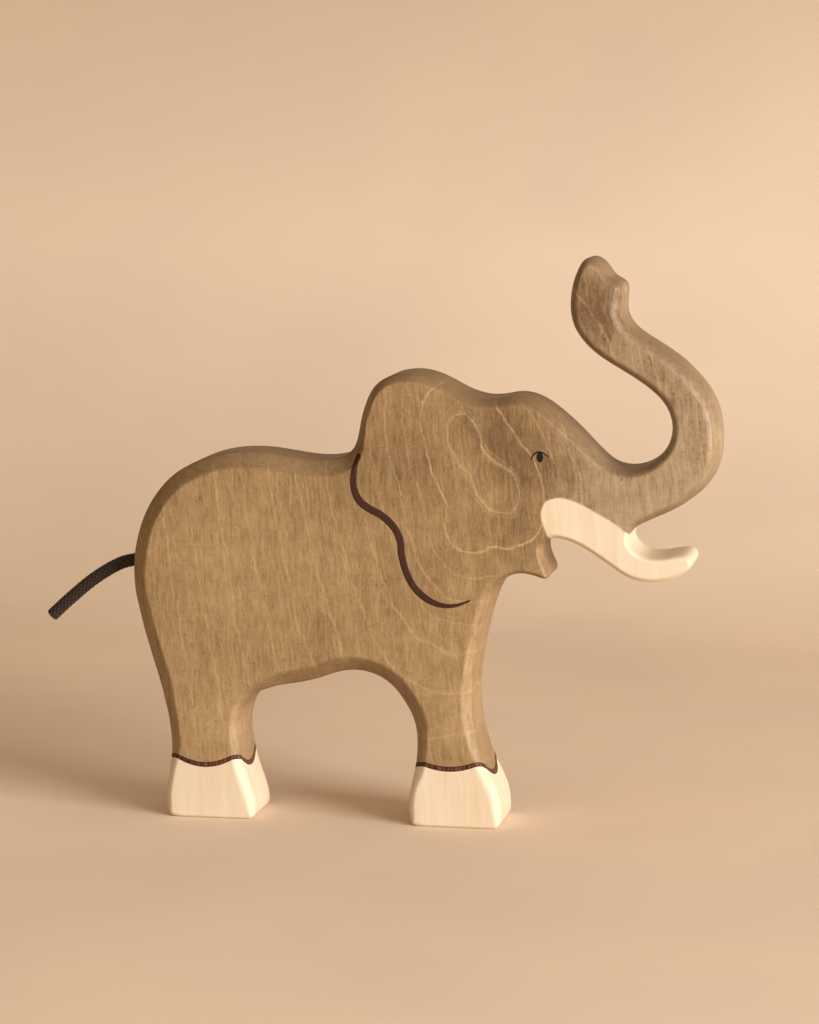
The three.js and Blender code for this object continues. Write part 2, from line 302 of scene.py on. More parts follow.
@dataclass
class Studio:
    """A sweep of warm paper, a key light at the front right, two weaker lights, and the camera."""

    camera_azimuth: float = 10.5
    camera_elevation: float = 7.5
    camera_distance: float = 1.0
    lens: float = 117.8
    sensor: float = 36.0
    aim: tuple[float, float, float] = (-0.00298, -0.012, 0.09577)
    sweep_half_width: float = 1.6
    sweep_front: float = -2.2
    sweep_bend: float = 0.3
    sweep_radius: float = 0.4
    sweep_height: float = 1.9
    lit_height: float = 0.09
    lamps: tuple[Lamp, ...] = (
        Lamp("key", (1.5, -0.92, 0.42), 1.0, 46.5, "#FFFBF6"),
        Lamp("overhead", (0.1, -0.35, 1.6), 1.6, 7.2, "#FFEFDC"),
        Lamp("front_fill", (0.5, -1.8, 0.5), 1.2, 3.0, "#FFEFDD"),
    )
    surround_colour: str = "#FFD6A2"
    surround_strength: float = 0.174

    def set_camera(self) -> None:
        """Places the camera at the viewing angle and makes it the scene's own."""
        turn, rise = math.radians(self.camera_azimuth), math.radians(self.camera_elevation)
        back = Vector((math.sin(turn) * math.cos(rise), -math.cos(turn) * math.cos(rise), math.sin(rise)))
        data = bpy.data.cameras.new("camera")
        data.lens = self.lens
        data.sensor_width = self.sensor
        data.clip_start, data.clip_end = 0.05, 20
        camera = bpy.data.objects.new("camera", data)
        camera.location = Vector(self.aim) + back * self.camera_distance
        camera.rotation_euler = (-back).to_track_quat("-Z", "Y").to_euler()
        bpy.context.scene.collection.objects.link(camera)
        bpy.context.scene.camera = camera

    def hang_paper(self) -> None:
        """Makes the sweep: a level floor that turns up into a wall on one round bend."""
        bm = bmesh.new()
        centre = Vector((0, self.sweep_bend, self.sweep_radius))
        rim = bmesh.ops.create_vert(bm, co=(0, self.sweep_bend, 0))["vert"]
        bmesh.ops.spin(
            bm, geom=rim, cent=centre, axis=(1, 0, 0), angle=math.pi / 2, steps=24, use_duplicate=False
        )
        bm.verts.ensure_lookup_table()
        low = min(bm.verts, key=lambda v: v.co.z)
        high = max(bm.verts, key=lambda v: v.co.z)
        for end, reach in ((low, (0, self.sweep_front, 0)), (high, (0, high.co.y, self.sweep_height))):
            moved = bmesh.ops.extrude_vert_indiv(bm, verts=[end])["verts"][0]
            moved.co = Vector(reach)
        drawn = bmesh.ops.extrude_edge_only(bm, edges=bm.edges[:])["geom"]
        across = [v for v in drawn if isinstance(v, bmesh.types.BMVert)]
        bmesh.ops.translate(bm, verts=bm.verts[:], vec=(-self.sweep_half_width, 0, 0))
        bmesh.ops.translate(bm, verts=across, vec=(2 * self.sweep_half_width, 0, 0))
        bmesh.ops.recalc_face_normals(bm, faces=bm.faces[:])
        # The floor faces up, so that the whole sweep faces the elephant.
        if min(bm.faces, key=lambda face: face.calc_center_median().z).normal.z < 0:
            bmesh.ops.reverse_faces(bm, faces=bm.faces[:])
        mesh = bpy.data.meshes.new("paper_sweep")
        bm.to_mesh(mesh)
        bm.free()
        for polygon in mesh.polygons:
            polygon.use_smooth = True
        mesh.materials.append(WarmPaper().material())
        sweep = bpy.data.objects.new("paper_sweep", mesh)
        bpy.context.scene.collection.objects.link(sweep)

    def set_lights(self) -> None:
        """Hangs the key light at the front right, two weaker lights, and a warm surround."""
        centre = Vector((0, 0, self.lit_height))
        for lamp in self.lamps:
            data = bpy.data.lights.new(lamp.name, "AREA")
            data.shape = "SQUARE"
            data.size = lamp.size
            data.energy = lamp.watts
            data.color = linear(lamp.colour)[:3]
            light = bpy.data.objects.new(lamp.name, data)
            light.location = lamp.place
            light.rotation_euler = (centre - light.location).to_track_quat("-Z", "Y").to_euler()
            bpy.context.scene.collection.objects.link(light)
        world = bpy.data.worlds.new("surround")
        world.use_nodes = True
        background = world.node_tree.nodes["Background"]
        background.inputs["Color"].default_value = linear(self.surround_colour)
        background.inputs["Strength"].default_value = self.surround_strength
        bpy.context.scene.world = world
        bpy.context.scene.view_settings.view_transform = "Standard"


# ---------------------------------------------------------------- the finishes


@dataclass(frozen=True)
class WarmPaper:
    """Matt background paper, peach: a field with a hardly visible cloudiness, and painted shade that
    darkens it higher up.
    """

    pale: str = "#E6D2BD"
    deep: str = "#F3DEC6"
    # Painted shade: the darker tone the paper turns to higher up.
    painted_shade_tone: str = "#A89176"
    cloud_mm: float = 180.0
    painted_shade_height: Point = (0.14, 0.46)

    def material(self) -> bpy.types.Material:
        """Makes the paper's material.

        Returns:
            The material.
        """
        material, tree, shader = blank_material("warm_background_paper")
        place = add(tree, "TexCoord", out="Object")
        cloud = add(tree, "TexNoise", {"Vector": place, "Scale": 1 / (self.cloud_mm * MM), "Detail": 3.0})
        tone = add(
            tree, "ValToRGB", {"Fac": cloud}, stops=[(0.3, linear(self.deep)), (0.7, linear(self.pale))]
        )
        # Painted shade: the paper is mixed towards a darker brown higher up, standing in for the light
        # falling off up the wall.
        height = add(tree, "SeparateXYZ", {0: place}, out=2)
        low, high = self.painted_shade_height
        fade = add(tree, "MapRange", {"Value": height, 1: low, 2: high, 3: 0.0, 4: 1.0}, clamp=True)
        tone = mixed(tree, fade, tone, linear(self.painted_shade_tone))
        tree.links.new(tone, shader.inputs["Base Color"])
        shader.inputs["Roughness"].default_value = 0.95
        shader.inputs["Specular IOR Level"].default_value = 0.1
        # Only the side towards the elephant shows, so that it can also be seen from behind the paper.
        back = add(tree, "NewGeometry", out="Backfacing")
        clear = add(tree, "BsdfTransparent")
        sheet = add(tree, "MixShader", {0: back, 1: shader.outputs[0], 2: clear})
        tree.links.new(sheet, tree.nodes["Material Output"].inputs["Surface"])
        return material


@dataclass(frozen=True)
class Patch:
    """A soft round patch of the board made lighter, or darker: partly a blotch where the stain took more or
    less, partly painted light and shade.

    Attributes:
        x: Its middle along the drawn board, in millimetres.
        z: The height of its middle.
        radius: How far from its middle it has faded to a third.
        tone: How much lighter it makes the wood, or darker below 0.
    """

    x: float
    z: float
    radius: float
    tone: float


@dataclass(frozen=True)
class StainedMaple:
    """Flat-sawn maple, sanded, wiped with a thin greyish-brown water stain and waxed.

    The stain sinks unevenly into the pores and the early wood, so the eye gets short upright
    fibres, tiny dark pores, soft blotches and pale growth rings, with nested loops where the saw
    cut through the side of a ring. The tusk and the feet are left bare.
    """

    stain_deep: str = "#6E5133"
    stain_mid: str = "#9A7C54"
    stain_light: str = "#B99B72"
    # Painted sheen: a pale grey that stands in for the whitish sheen of the side light on the trunk.
    painted_sheen_grey: str = "#B3A28C"
    pore_colour: str = "#5A4228"
    ring_pale: str = "#D4B788"
    bare_mid: str = "#E3CEAF"
    bare_pale: str = "#EBDCC4"
    fibre_mm: float = 0.4
    fibre_length_mm: float = 3.2
    streak_mm: float = 1.1
    streak_length_mm: float = 16.0
    pore_mm: float = 0.22
    pore_length_mm: float = 0.7
    wobble_mm: float = 11.0
    mottle_mm: float = 4.0
    cloud_mm: float = 26.0
    speck_mm: float = 0.8
    scratch_mm: float = 0.5
    scratch_length_mm: float = 22.0
    # How far each noise sways the tone, and the shift that brings the whole back to the middle.
    fibre_sway: float = 1.2
    streak_sway: float = 0.5
    mottle_sway: float = 0.5
    cloud_sway: float = 0.55
    scratch_sway: float = 0.1
    speck_sway: float = 0.45
    tone_shift: float = -1.09
    # Painted sheen: the wood turns towards a pale grey from the first of these places along the elephant,
    # fully at the second, standing in for the side light's whitish sheen.
    painted_sheen_reach: Point = (34.0, 60.0)
    painted_sheen_share: float = 0.7
    # How far up- and down-facing edges go darker: end grain that drinks stain, and painted shade.
    end_grain_and_shade_share: float = 0.75
    ankle_reach: float = 20.0
    foot_edge_mm: float = 0.3
    tusk_edge_mm: float = 0.35
    ring_lean: float = 0.12
    # How much the rings are squashed along the grain, at these distances from their middle.
    squash_reach: Point = (8.0, 90.0)
    squash: Point = (0.76, 0.22)
    ring_middle: Point = (17.0, 112.0)
    # Middles that the innermost ring bends round, leaning forward going down: x, height and lag.
    ring_hearts: tuple[tuple[float, float, float], ...] = (
        (14.4, 120.0, -0.5), (15.2, 112.4, 0.9), (18.4, 107.0, 0.9), (23.0, 102.6, -1.2), (11.2, 91.0, 6.4),
    )
    # Distance of each clear ring from those middles, and how pale it is.
    clear_rings: tuple[Point, ...] = (
        (4.6, 1.0), (5.6, 0.4), (12.6, 1.0), (18.0, 0.35), (23.6, 0.8), (29.0, 0.4),
    )
    faint_ring_spacing: float = 8.6
    ring_blend: float = 7.0
    ring_wander: float = 4.2
    ring_line_inside: float = 0.36
    ring_line_outside: float = 0.24
    faint_rings_from: float = 33.0
    faint_ring_tone: float = 0.4
    # Partly blotches in the stain, partly painted light and shade fitted to how brightly each place is lit,
    # most of it on the head and trunk.
    patches: tuple[Patch, ...] = (
        Patch(-7, 112, 17, -0.26), Patch(24, 120, 14, -0.4), Patch(28, 104, 12, -0.2),
        Patch(29, 90, 9, -0.22), Patch(3, 84, 10, -0.12), Patch(15, 111, 6, 0.3),
        Patch(23, 101, 5, 0.3), Patch(43, 109, 8, -0.26), Patch(50, 101, 9, -0.02),
        Patch(81, 117, 9, -0.05), Patch(79, 129, 8, -0.15), Patch(69, 143, 7, -0.15),
        Patch(57, 160, 9, -0.18), Patch(49, 160, 10, -0.42), Patch(55, 149, 8, -0.3),
        Patch(74, 134, 7, -0.2), Patch(63, 105, 7, -0.15), Patch(9, 32, 10, 0.2),
        Patch(5, 50, 12, 0.06), Patch(-66, 79, 16, 0.12), Patch(-62, 30, 12, 0.2),
        Patch(-30, 104, 14, -0.1), Patch(-50, 80, 9, -0.03), Patch(-82, 68, 8, -0.15),
    )

    def ring_field(self, tree: bpy.types.NodeTree, x: Socket, z: Socket, wobble: Socket) -> Socket:
        """Distance in millimetres from the heart of the growth rings, stretched along the grain.

        Args:
            tree: The node tree.
            x: Millimetres along the elephant.
            z: Millimetres up.
            wobble: A noise from 0 to 1 that makes the rings uneven.

        Returns:
            The distance.
        """
        middle_x, middle_z = self.ring_middle
        upright = calc(tree, "SUBTRACT", z, middle_z)
        leaning = calc(tree, "MULTIPLY_ADD", upright, self.ring_lean, x)
        away = calc(tree, "SUBTRACT", leaning, middle_x)
        away = calc(tree, "ABSOLUTE", away)
        # The rings are nearly upright far from the heart and rounder close to it.
        (near, far), (round_one, flat_one) = self.squash_reach, self.squash
        squash = add(
            tree, "MapRange", {"Value": away, 1: near, 2: far, 3: round_one, 4: flat_one}, clamp=True
        )
        field = None
        for heart_x, heart_z, lag in self.ring_hearts:
            across = calc(tree, "SUBTRACT", leaning, heart_x)
            along = calc(tree, "SUBTRACT", z, heart_z)
            along = calc(tree, "MULTIPLY", along, squash)
            offset = add(tree, "CombineXYZ", {0: across, 1: 0.0, 2: along})
            distance = add(tree, "VectorMath", {0: offset}, out="Value", operation="LENGTH")
            distance = calc(tree, "ADD", distance, lag)
            if field is None:
                field = distance
            else:
                field = calc(tree, "SMOOTH_MIN", field, distance, self.ring_blend)
        waves = calc(tree, "SUBTRACT", wobble, 0.5)
        return calc(tree, "MULTIPLY_ADD", waves, self.ring_wander, field)

    def ring_lines(self, tree: bpy.types.NodeTree, field: Socket) -> Socket:
        """The pale line of each growth ring: clear ones near the heart, faint even ones beyond.

        Args:
            tree: The node tree.
            field: The distance from the heart.

        Returns:
            From 0 between the rings to 1 on a clear one.
        """
        black = (0, 0, 0, 1)
        stops = [(0.0, black)]
        for distance, pale in self.clear_rings:
            stops += [
                ((distance - self.ring_line_inside) / RAMP_SPAN, black),
                (distance / RAMP_SPAN, (pale, pale, pale, 1)),
                ((distance + self.ring_line_outside) / RAMP_SPAN, black),
            ]
        share = calc(tree, "MULTIPLY", field, 1 / RAMP_SPAN)
        clear = add(tree, "ValToRGB", {"Fac": share}, stops=stops)
        turn = calc(tree, "MULTIPLY", field, 1 / self.faint_ring_spacing)
        turn = calc(tree, "FRACT", turn)
        grey = (self.faint_ring_tone,) * 3 + (1,)
        faint = add(tree, "ValToRGB", {"Fac": turn}, stops=[(0.0, black), (0.06, grey), (0.1, black)])
        begin = self.faint_rings_from
        beyond = add(tree, "MapRange", {"Value": field, 1: begin, 2: begin + 1, 3: 0.0, 4: 1.0}, clamp=True)
        faint = calc(tree, "MULTIPLY", faint, beyond)
        return calc(tree, "MAXIMUM", clear, faint)

    def patchy(self, tree: bpy.types.NodeTree, x: Socket, z: Socket, tone: Socket) -> Socket:
        """Adds the patches to a tone.

        Args:
            tree: The node tree.
            x: Millimetres along the elephant.
            z: Millimetres up.
            tone: The tone without them.

        Returns:
            The tone with them.
        """
        flat = add(tree, "CombineXYZ", {0: x, 1: 0.0, 2: z})
        for patch in self.patches:
            offset = add(tree, "VectorMath", {0: flat, 1: (patch.x, 0, patch.z)}, operation="SUBTRACT")
            square = add(tree, "VectorMath", {0: offset, 1: offset}, out="Value", operation="DOT_PRODUCT")
            fade = calc(tree, "MULTIPLY", square, -1 / patch.radius**2)
            fade = calc(tree, "EXPONENT", fade)
            tone = calc(tree, "MULTIPLY_ADD", fade, patch.tone, tone)
        return tone

    def foot_mask(
        self, tree: bpy.types.NodeTree, x: Socket, y: Socket, z: Socket, ankle: "Ankle"
    ) -> Socket:
        """Where one foot is left without stain: everything below its band.

        Args:
            tree: The node tree.
            x: Millimetres along the elephant.
            y: Millimetres through the board.
            z: Millimetres up.
            ankle: The band over the foot.

        Returns:
            1 on bare wood and 0 on stained wood.
        """
        across = add(tree, "MapRange", {"Value": x, 1: ankle.back, 2: ankle.front, 3: -1.0, 4: 1.0})
        across = calc(tree, "MULTIPLY", across, across)
        through = calc(tree, "DIVIDE", y, BOARD.half_thickness / MM)
        through = calc(tree, "MULTIPLY", through, through)
        drop = calc(tree, "MULTIPLY_ADD", across, ankle.face_dip, -ankle.face_dip)
        drop = calc(tree, "MULTIPLY_ADD", through, ankle.edge_dip, drop)
        edge = calc(tree, "ADD", drop, ankle.level - ankle.edge_dip)
        below = calc(tree, "SUBTRACT", edge, z)
        near = calc(tree, "SUBTRACT", x, ankle.middle)
        near = calc(tree, "ABSOLUTE", near)
        near = calc(tree, "LESS_THAN", near, self.ankle_reach)
        soft = self.foot_edge_mm
        below = add(tree, "MapRange", {"Value": below, 1: -soft, 2: soft, 3: 0.0, 4: 1.0}, clamp=True)
        return calc(tree, "MULTIPLY", below, near)

    def tusk_mask(self, tree: bpy.types.NodeTree, x: Socket, z: Socket) -> Socket:
        """Where the tusk is left without stain, by the heights of its top and the line of its root.

        Args:
            tree: The node tree.
            x: Millimetres along the elephant.
            z: Millimetres up.

        Returns:
            1 on bare wood and 0 on stained wood.
        """
        (left, low), size = TUSK_CORNER, TUSK_SPAN
        ends = {3: 0.0, 4: 1.0}
        share = add(tree, "MapRange", {"Value": x, 1: left, 2: left + size, **ends}, clamp=True)
        line = [(a / size, b / size) for a, b in TUSK_TOP_EDGE]
        top = add(tree, "FloatCurve", {"Value": share}, curve=line)
        top = calc(tree, "MULTIPLY_ADD", top, size, low)
        under = calc(tree, "SUBTRACT", top, z)
        share = add(tree, "MapRange", {"Value": z, 1: low, 2: low + size, **ends}, clamp=True)
        line = [(a / size, b / size) for a, b in TUSK_ROOT_EDGE]
        root = add(tree, "FloatCurve", {"Value": share}, curve=line)
        root = calc(tree, "MULTIPLY_ADD", root, size, left)
        past = calc(tree, "SUBTRACT", x, root)
        inside = calc(tree, "SMOOTH_MIN", under, past, 1.0)
        soft = self.tusk_edge_mm
        return add(tree, "MapRange", {"Value": inside, 1: -soft, 2: soft, **ends}, clamp=True)

    def streaks(
        self, tree: bpy.types.NodeTree, place: Socket, width: float, length: float, detail: float
    ) -> Socket:
        """Noise drawn out along the upright grain.

        Args:
            tree: The node tree.
            place: The place in millimetres, already leaning with the grain.
            width: Width of a streak in millimetres.
            length: Length of a streak in millimetres.
            detail: How many finer layers of noise there are.

        Returns:
            The noise, about 0.5 on average.
        """
        scale = (0.5 / width, 0.5 / width, 0.5 / length)
        stretched = add(tree, "VectorMath", {0: place, 1: scale}, operation="MULTIPLY")
        inputs = {"Vector": stretched, "Scale": 1.0, "Detail": detail, "Roughness": 0.6}
        return add(tree, "TexNoise", inputs)

    def material(self) -> bpy.types.Material:
        """Makes the wood's material.

        Returns:
            The material.
        """
        material, tree, shader = blank_material("stained_waxed_maple")
        place = add(tree, "TexCoord", out="Object")
        place = add(tree, "VectorMath", {0: place, 1: BOARD.drawn_scale}, operation="MULTIPLY")
        x, y, z = add(tree, "SeparateXYZ", {0: place}).node.outputs
        wobble = add(tree, "TexNoise", {"Vector": place, "Scale": 1 / self.wobble_mm, "Detail": 4.0})

        # The grain leans with the rings and sways a little.
        lean = calc(tree, "MULTIPLY_ADD", z, 0.07, x)
        sway = calc(tree, "MULTIPLY_ADD", wobble, 3.0, lean)
        grain = add(tree, "CombineXYZ", {0: sway, 1: y, 2: z})
        fibre = self.streaks(tree, grain, self.fibre_mm, self.fibre_length_mm, 4.0)
        streak = self.streaks(tree, grain, self.streak_mm, self.streak_length_mm, 3.0)
        pores = self.streaks(tree, grain, self.pore_mm, self.pore_length_mm, 1.0)
        # Faint level scratches left by the sanding belt.
        level = 1 / self.scratch_length_mm
        scratch_scale = (level, level, 1 / self.scratch_mm)
        scratch = add(tree, "VectorMath", {0: place, 1: scratch_scale}, operation="MULTIPLY")
        scratch = add(tree, "TexNoise", {"Vector": scratch, "Scale": 1.0, "Detail": 2.0})
        blotch = {"Vector": place, "Detail": 3.0, "Roughness": 0.6}
        mottle = add(tree, "TexNoise", {**blotch, "Scale": 1 / self.mottle_mm})
        clouds = add(tree, "TexNoise", {**blotch, "Scale": 1 / self.cloud_mm})
        speck = add(tree, "TexNoise", {"Vector": place, "Scale": 1 / self.speck_mm, "Detail": 2.0})

        tone = calc(tree, "MULTIPLY_ADD", fibre, self.fibre_sway, self.tone_shift)
        for noise, amount in (
            (streak, self.streak_sway),
            (mottle, self.mottle_sway),
            (clouds, self.cloud_sway),
            (scratch, self.scratch_sway),
            (speck, self.speck_sway),
        ):
            tone = calc(tree, "MULTIPLY_ADD", noise, amount, tone)
        tone = self.patchy(tree, x, z, tone)
        tone = calc(tree, "MULTIPLY", tone, 1.0, clamped=True)
        stains = (self.stain_deep, self.stain_mid, self.stain_light)
        stops = [(share, linear(stain)) for share, stain in zip((0.0, 0.5, 1.0), stains)]
        colour = add(tree, "ValToRGB", {"Fac": tone}, stops=stops)

        # Painted sheen: the head's front and the trunk are mixed towards a pale grey that stands in for the
        # whitish sheen of the side light on their rounded wood.
        begin, end = self.painted_sheen_reach
        painted_sheen = add(tree, "MapRange", {"Value": x, 1: begin, 2: end, 3: 0.0, 4: self.painted_sheen_share}, clamp=True)
        painted_sheen = calc(tree, "MULTIPLY", painted_sheen, tone)
        colour = mixed(tree, painted_sheen, colour, linear(self.painted_sheen_grey))

        fray = add(tree, "TexNoise", {"Vector": place, "Scale": 1.4, "Detail": 2.0})
        field = self.ring_field(tree, x, z, wobble)
        field = calc(tree, "MULTIPLY_ADD", fray, 0.9, field)
        lines = self.ring_lines(tree, field)
        broken = add(tree, "TexNoise", {"Vector": place, "Scale": 1 / 5, "Detail": 5.0, "Roughness": 0.7})
        broken = add(tree, "MapRange", {"Value": broken, 1: 0.35, 2: 0.6, 3: 0.3, 4: 0.95}, clamp=True)
        lines = calc(tree, "MULTIPLY", lines, broken)
        colour = mixed(tree, lines, colour, linear(self.ring_pale))
        pore = add(tree, "MapRange", {"Value": pores, 1: 0.68, 2: 0.76, 3: 0.0, 4: 0.6}, clamp=True)
        colour = mixed(tree, pore, colour, linear(self.pore_colour))

        # End grain and painted shade: edges that face up or down go darker, partly because end grain drinks
        # more stain, partly as painted shade where the low side light hardly reaches them.
        facing = add(tree, "TexCoord", out="Normal")
        upward = add(tree, "SeparateXYZ", {0: facing}, out=2)
        end_grain_and_shade = calc(tree, "ABSOLUTE", upward)
        end_grain_and_shade = calc(tree, "MULTIPLY", end_grain_and_shade, self.end_grain_and_shade_share)
        colour = mixed(tree, end_grain_and_shade, colour, linear(self.stain_deep))

        bare_tone = add(tree, "MapRange", {"Value": streak, 1: 0.3, 2: 0.7, 3: 0.0, 4: 1.0}, clamp=True)
        bare_stops = [(0.0, linear(self.bare_mid)), (1.0, linear(self.bare_pale))]
        bare = add(tree, "ValToRGB", {"Fac": bare_tone}, stops=bare_stops)
        mask = self.tusk_mask(tree, x, z)
        for ankle in (REAR_ANKLE, FRONT_ANKLE):
            foot = self.foot_mask(tree, x, y, z, ankle)
            mask = calc(tree, "MAXIMUM", mask, foot)
        colour = mixed(tree, mask, colour, bare)

        rough = add(tree, "MapRange", {"Value": fibre, 1: 0.3, 2: 0.7, 3: 0.5, 4: 0.64}, clamp=True)
        relief = calc(tree, "MULTIPLY_ADD", pore, -1.0, fibre)
        bump = add(tree, "Bump", {"Height": relief, "Strength": 0.35, "Distance": 0.04 * MM})
        tree.links.new(colour, shader.inputs["Base Color"])
        tree.links.new(rough, shader.inputs["Roughness"])
        tree.links.new(bump, shader.inputs["Normal"])
        shader.inputs["IOR"].default_value = 1.47
        shader.inputs["Coat Weight"].default_value = 0.35
        shader.inputs["Coat Roughness"].default_value = 0.5
        return material


@dataclass(frozen=True)
class WaxedBraid:
    """Braided cotton cord, dyed very dark brown and waxed: matt, with a faint sheen on each yarn."""

    dark: str = "#2A1B10"
    middle: str = "#38271A"
    light: str = "#5E4832"
    yarn_mm: float = 0.22

    def material(self) -> bpy.types.Material:
        """Makes the cord's material. The UV map runs along each yarn.

        Returns:
            The material.
        """
        material, tree, shader = blank_material("waxed_braided_cotton")
        place = add(tree, "TexCoord", out="Object")
        fluff = add(tree, "TexNoise", {"Vector": place, "Scale": 1 / (self.yarn_mm * MM), "Detail": 3.0})
        tone = add(
            tree,
            "ValToRGB",
            {"Fac": fluff},
            stops=[(0.35, linear(self.dark)), (0.62, linear(self.middle)), (0.74, linear(self.light))],
        )
        bump = add(tree, "Bump", {"Height": fluff, "Strength": 0.5, "Distance": 0.05 * MM})
        tree.links.new(tone, shader.inputs["Base Color"])
        tree.links.new(bump, shader.inputs["Normal"])
        shader.inputs["Roughness"].default_value = 0.75
        shader.inputs["Sheen Weight"].default_value = 0.08
        shader.inputs["Sheen Roughness"].default_value = 0.5
        return material


@dataclass(frozen=True)
class BrushedPaint:
    """Thin paint drawn with a brush on sanded wood: the grain shows as streaks, the rims are darkest."""

    name: str
    dark: str
    light: str
    streak_mm: float = 0.5

    def material(self) -> bpy.types.Material:
        """Makes the paint's material.

        Returns:
            The material.
        """
        material, tree, shader = blank_material(self.name)
        place = add(tree, "TexCoord", out="Object")
        scaled = add(
            tree,
            "VectorMath",
            {0: place, 1: (1 / (self.streak_mm * MM), 1 / (self.streak_mm * MM), 1 / (5 * MM))},
            operation="MULTIPLY",
        )
        streak = add(tree, "TexNoise", {"Vector": scaled, "Scale": 1.0, "Detail": 3.0})
        across = add(tree, "TexCoord", out="UV")
        across = add(tree, "SeparateXYZ", {0: across}).node.outputs[1]
        across = add(tree, "MapRange", {"Value": across, 1: 0.0, 2: 1.0, 3: -1.0, 4: 1.0})
        across = calc(tree, "ABSOLUTE", across)
        rim = add(tree, "MapRange", {"Value": across, 1: 0.45, 2: 0.9, 3: 0.0, 4: 1.0}, clamp=True)
        stops = [(0.4, linear(self.dark)), (0.7, linear(self.light))]
        tone = add(tree, "ValToRGB", {"Fac": streak}, stops=stops)
        tone = mixed(tree, rim, tone, linear(self.dark))
        bump = add(tree, "Bump", {"Height": streak, "Strength": 0.3, "Distance": 0.03 * MM})
        tree.links.new(tone, shader.inputs["Base Color"])
        tree.links.new(bump, shader.inputs["Normal"])
        shader.inputs["Roughness"].default_value = 0.55
        shader.inputs["Specular IOR Level"].default_value = 0.3
        return material


@dataclass(frozen=True)
class SetGlue:
    """White wood glue, dried to a clear amber with small bubbles."""

    colour: str = "#D8C08A"
    bubble_colour: str = "#E8DAB4"
    bubble_mm: float = 0.6

    def material(self) -> bpy.types.Material:
        """Makes the glue's material.

        Returns:
            The material.
        """
        material, tree, shader = blank_material("set_wood_glue")
        place = add(tree, "TexCoord", out="Object")
        bubbles = add(tree, "TexVoronoi", {"Vector": place, "Scale": 1 / (self.bubble_mm * MM)})
        stops = [(0.1, linear(self.bubble_colour)), (0.4, linear(self.colour))]
        tone = add(tree, "ValToRGB", {"Fac": bubbles}, stops=stops)
        tree.links.new(tone, shader.inputs["Base Color"])
        shader.inputs["Roughness"].default_value = 0.25
        shader.inputs["Subsurface Weight"].default_value = 0.2
        shader.inputs["Subsurface Radius"].default_value = (0.002, 0.0015, 0.001)
        return material


# ---------------------------------------------------------------- the board


@dataclass(frozen=True)
class Edge:
    """How an edge of the board is eased, in millimetres.

    Attributes:
        width: How far it reaches over the flat face.
        depth: How far it reaches into the thickness.
        roundness: 0 for a flat chamfer, 1 for a full round.
    """

    width: float
    depth: float
    roundness: float


@dataclass(frozen=True)
class Run:
    """One stretch of the board's outer edge: its points and how it is eased."""

    edge: Edge
    points: tuple[Point, ...]
    straight: bool = False


@dataclass(frozen=True)
class Ankle:
    """Where a painted band goes round a leg, in millimetres."""

    name: str
    back: float
    front: float
    level: float
    face_dip: float
    edge_dip: float = 5.0

    @property
    def middle(self) -> float:
        """The middle of the leg along X."""
        return (self.back + self.front) / 2


REAR_ANKLE = Ankle("rear_ankle_band", back=-77.5, front=-55.6, level=20.6, face_dip=4.0)
FRONT_ANKLE = Ankle("front_ankle_band", back=-1.4, front=19.0, level=20.6, face_dip=2.6)

# The stain stops along these lines round the tusk: height by length, then length by height, each
# counted from this corner of the drawn board, over this span.
TUSK_CORNER = (30.0, 60.0)
TUSK_SPAN = 60.0
TUSK_TOP_EDGE = (
    (0, 40.5), (7.5, 40.0), (9.5, 40.7), (12, 41.0), (14, 40.8), (18.1, 39.4), (23.1, 36.8), (28.1, 34),
    (32, 31.1), (34, 29.6), (38, 29.6), (60, 29.6),
)
TUSK_ROOT_EDGE = (
    (0, 9.4), (27.6, 9.2), (30, 8.4), (33, 7.2), (35.5, 6.6), (38.5, 7.2), (40.3, 8.6), (41, 10.5),
    (60, 11),
)


def arc(centre: Point, radius: float, start: float, end: float, steps: int = 8) -> tuple[Point, ...]:
    """Points on part of a circle.

    Args:
        centre: The centre.
        radius: The radius.
        start: The first angle in degrees, anticlockwise from +X.
        end: The last angle.
        steps: Spans between the points.

    Returns:
        The points.
    """
    angles = [math.radians(start + (end - start) * i / steps) for i in range(steps + 1)]
    return tuple((centre[0] + radius * math.cos(a), centre[1] + radius * math.sin(a)) for a in angles)


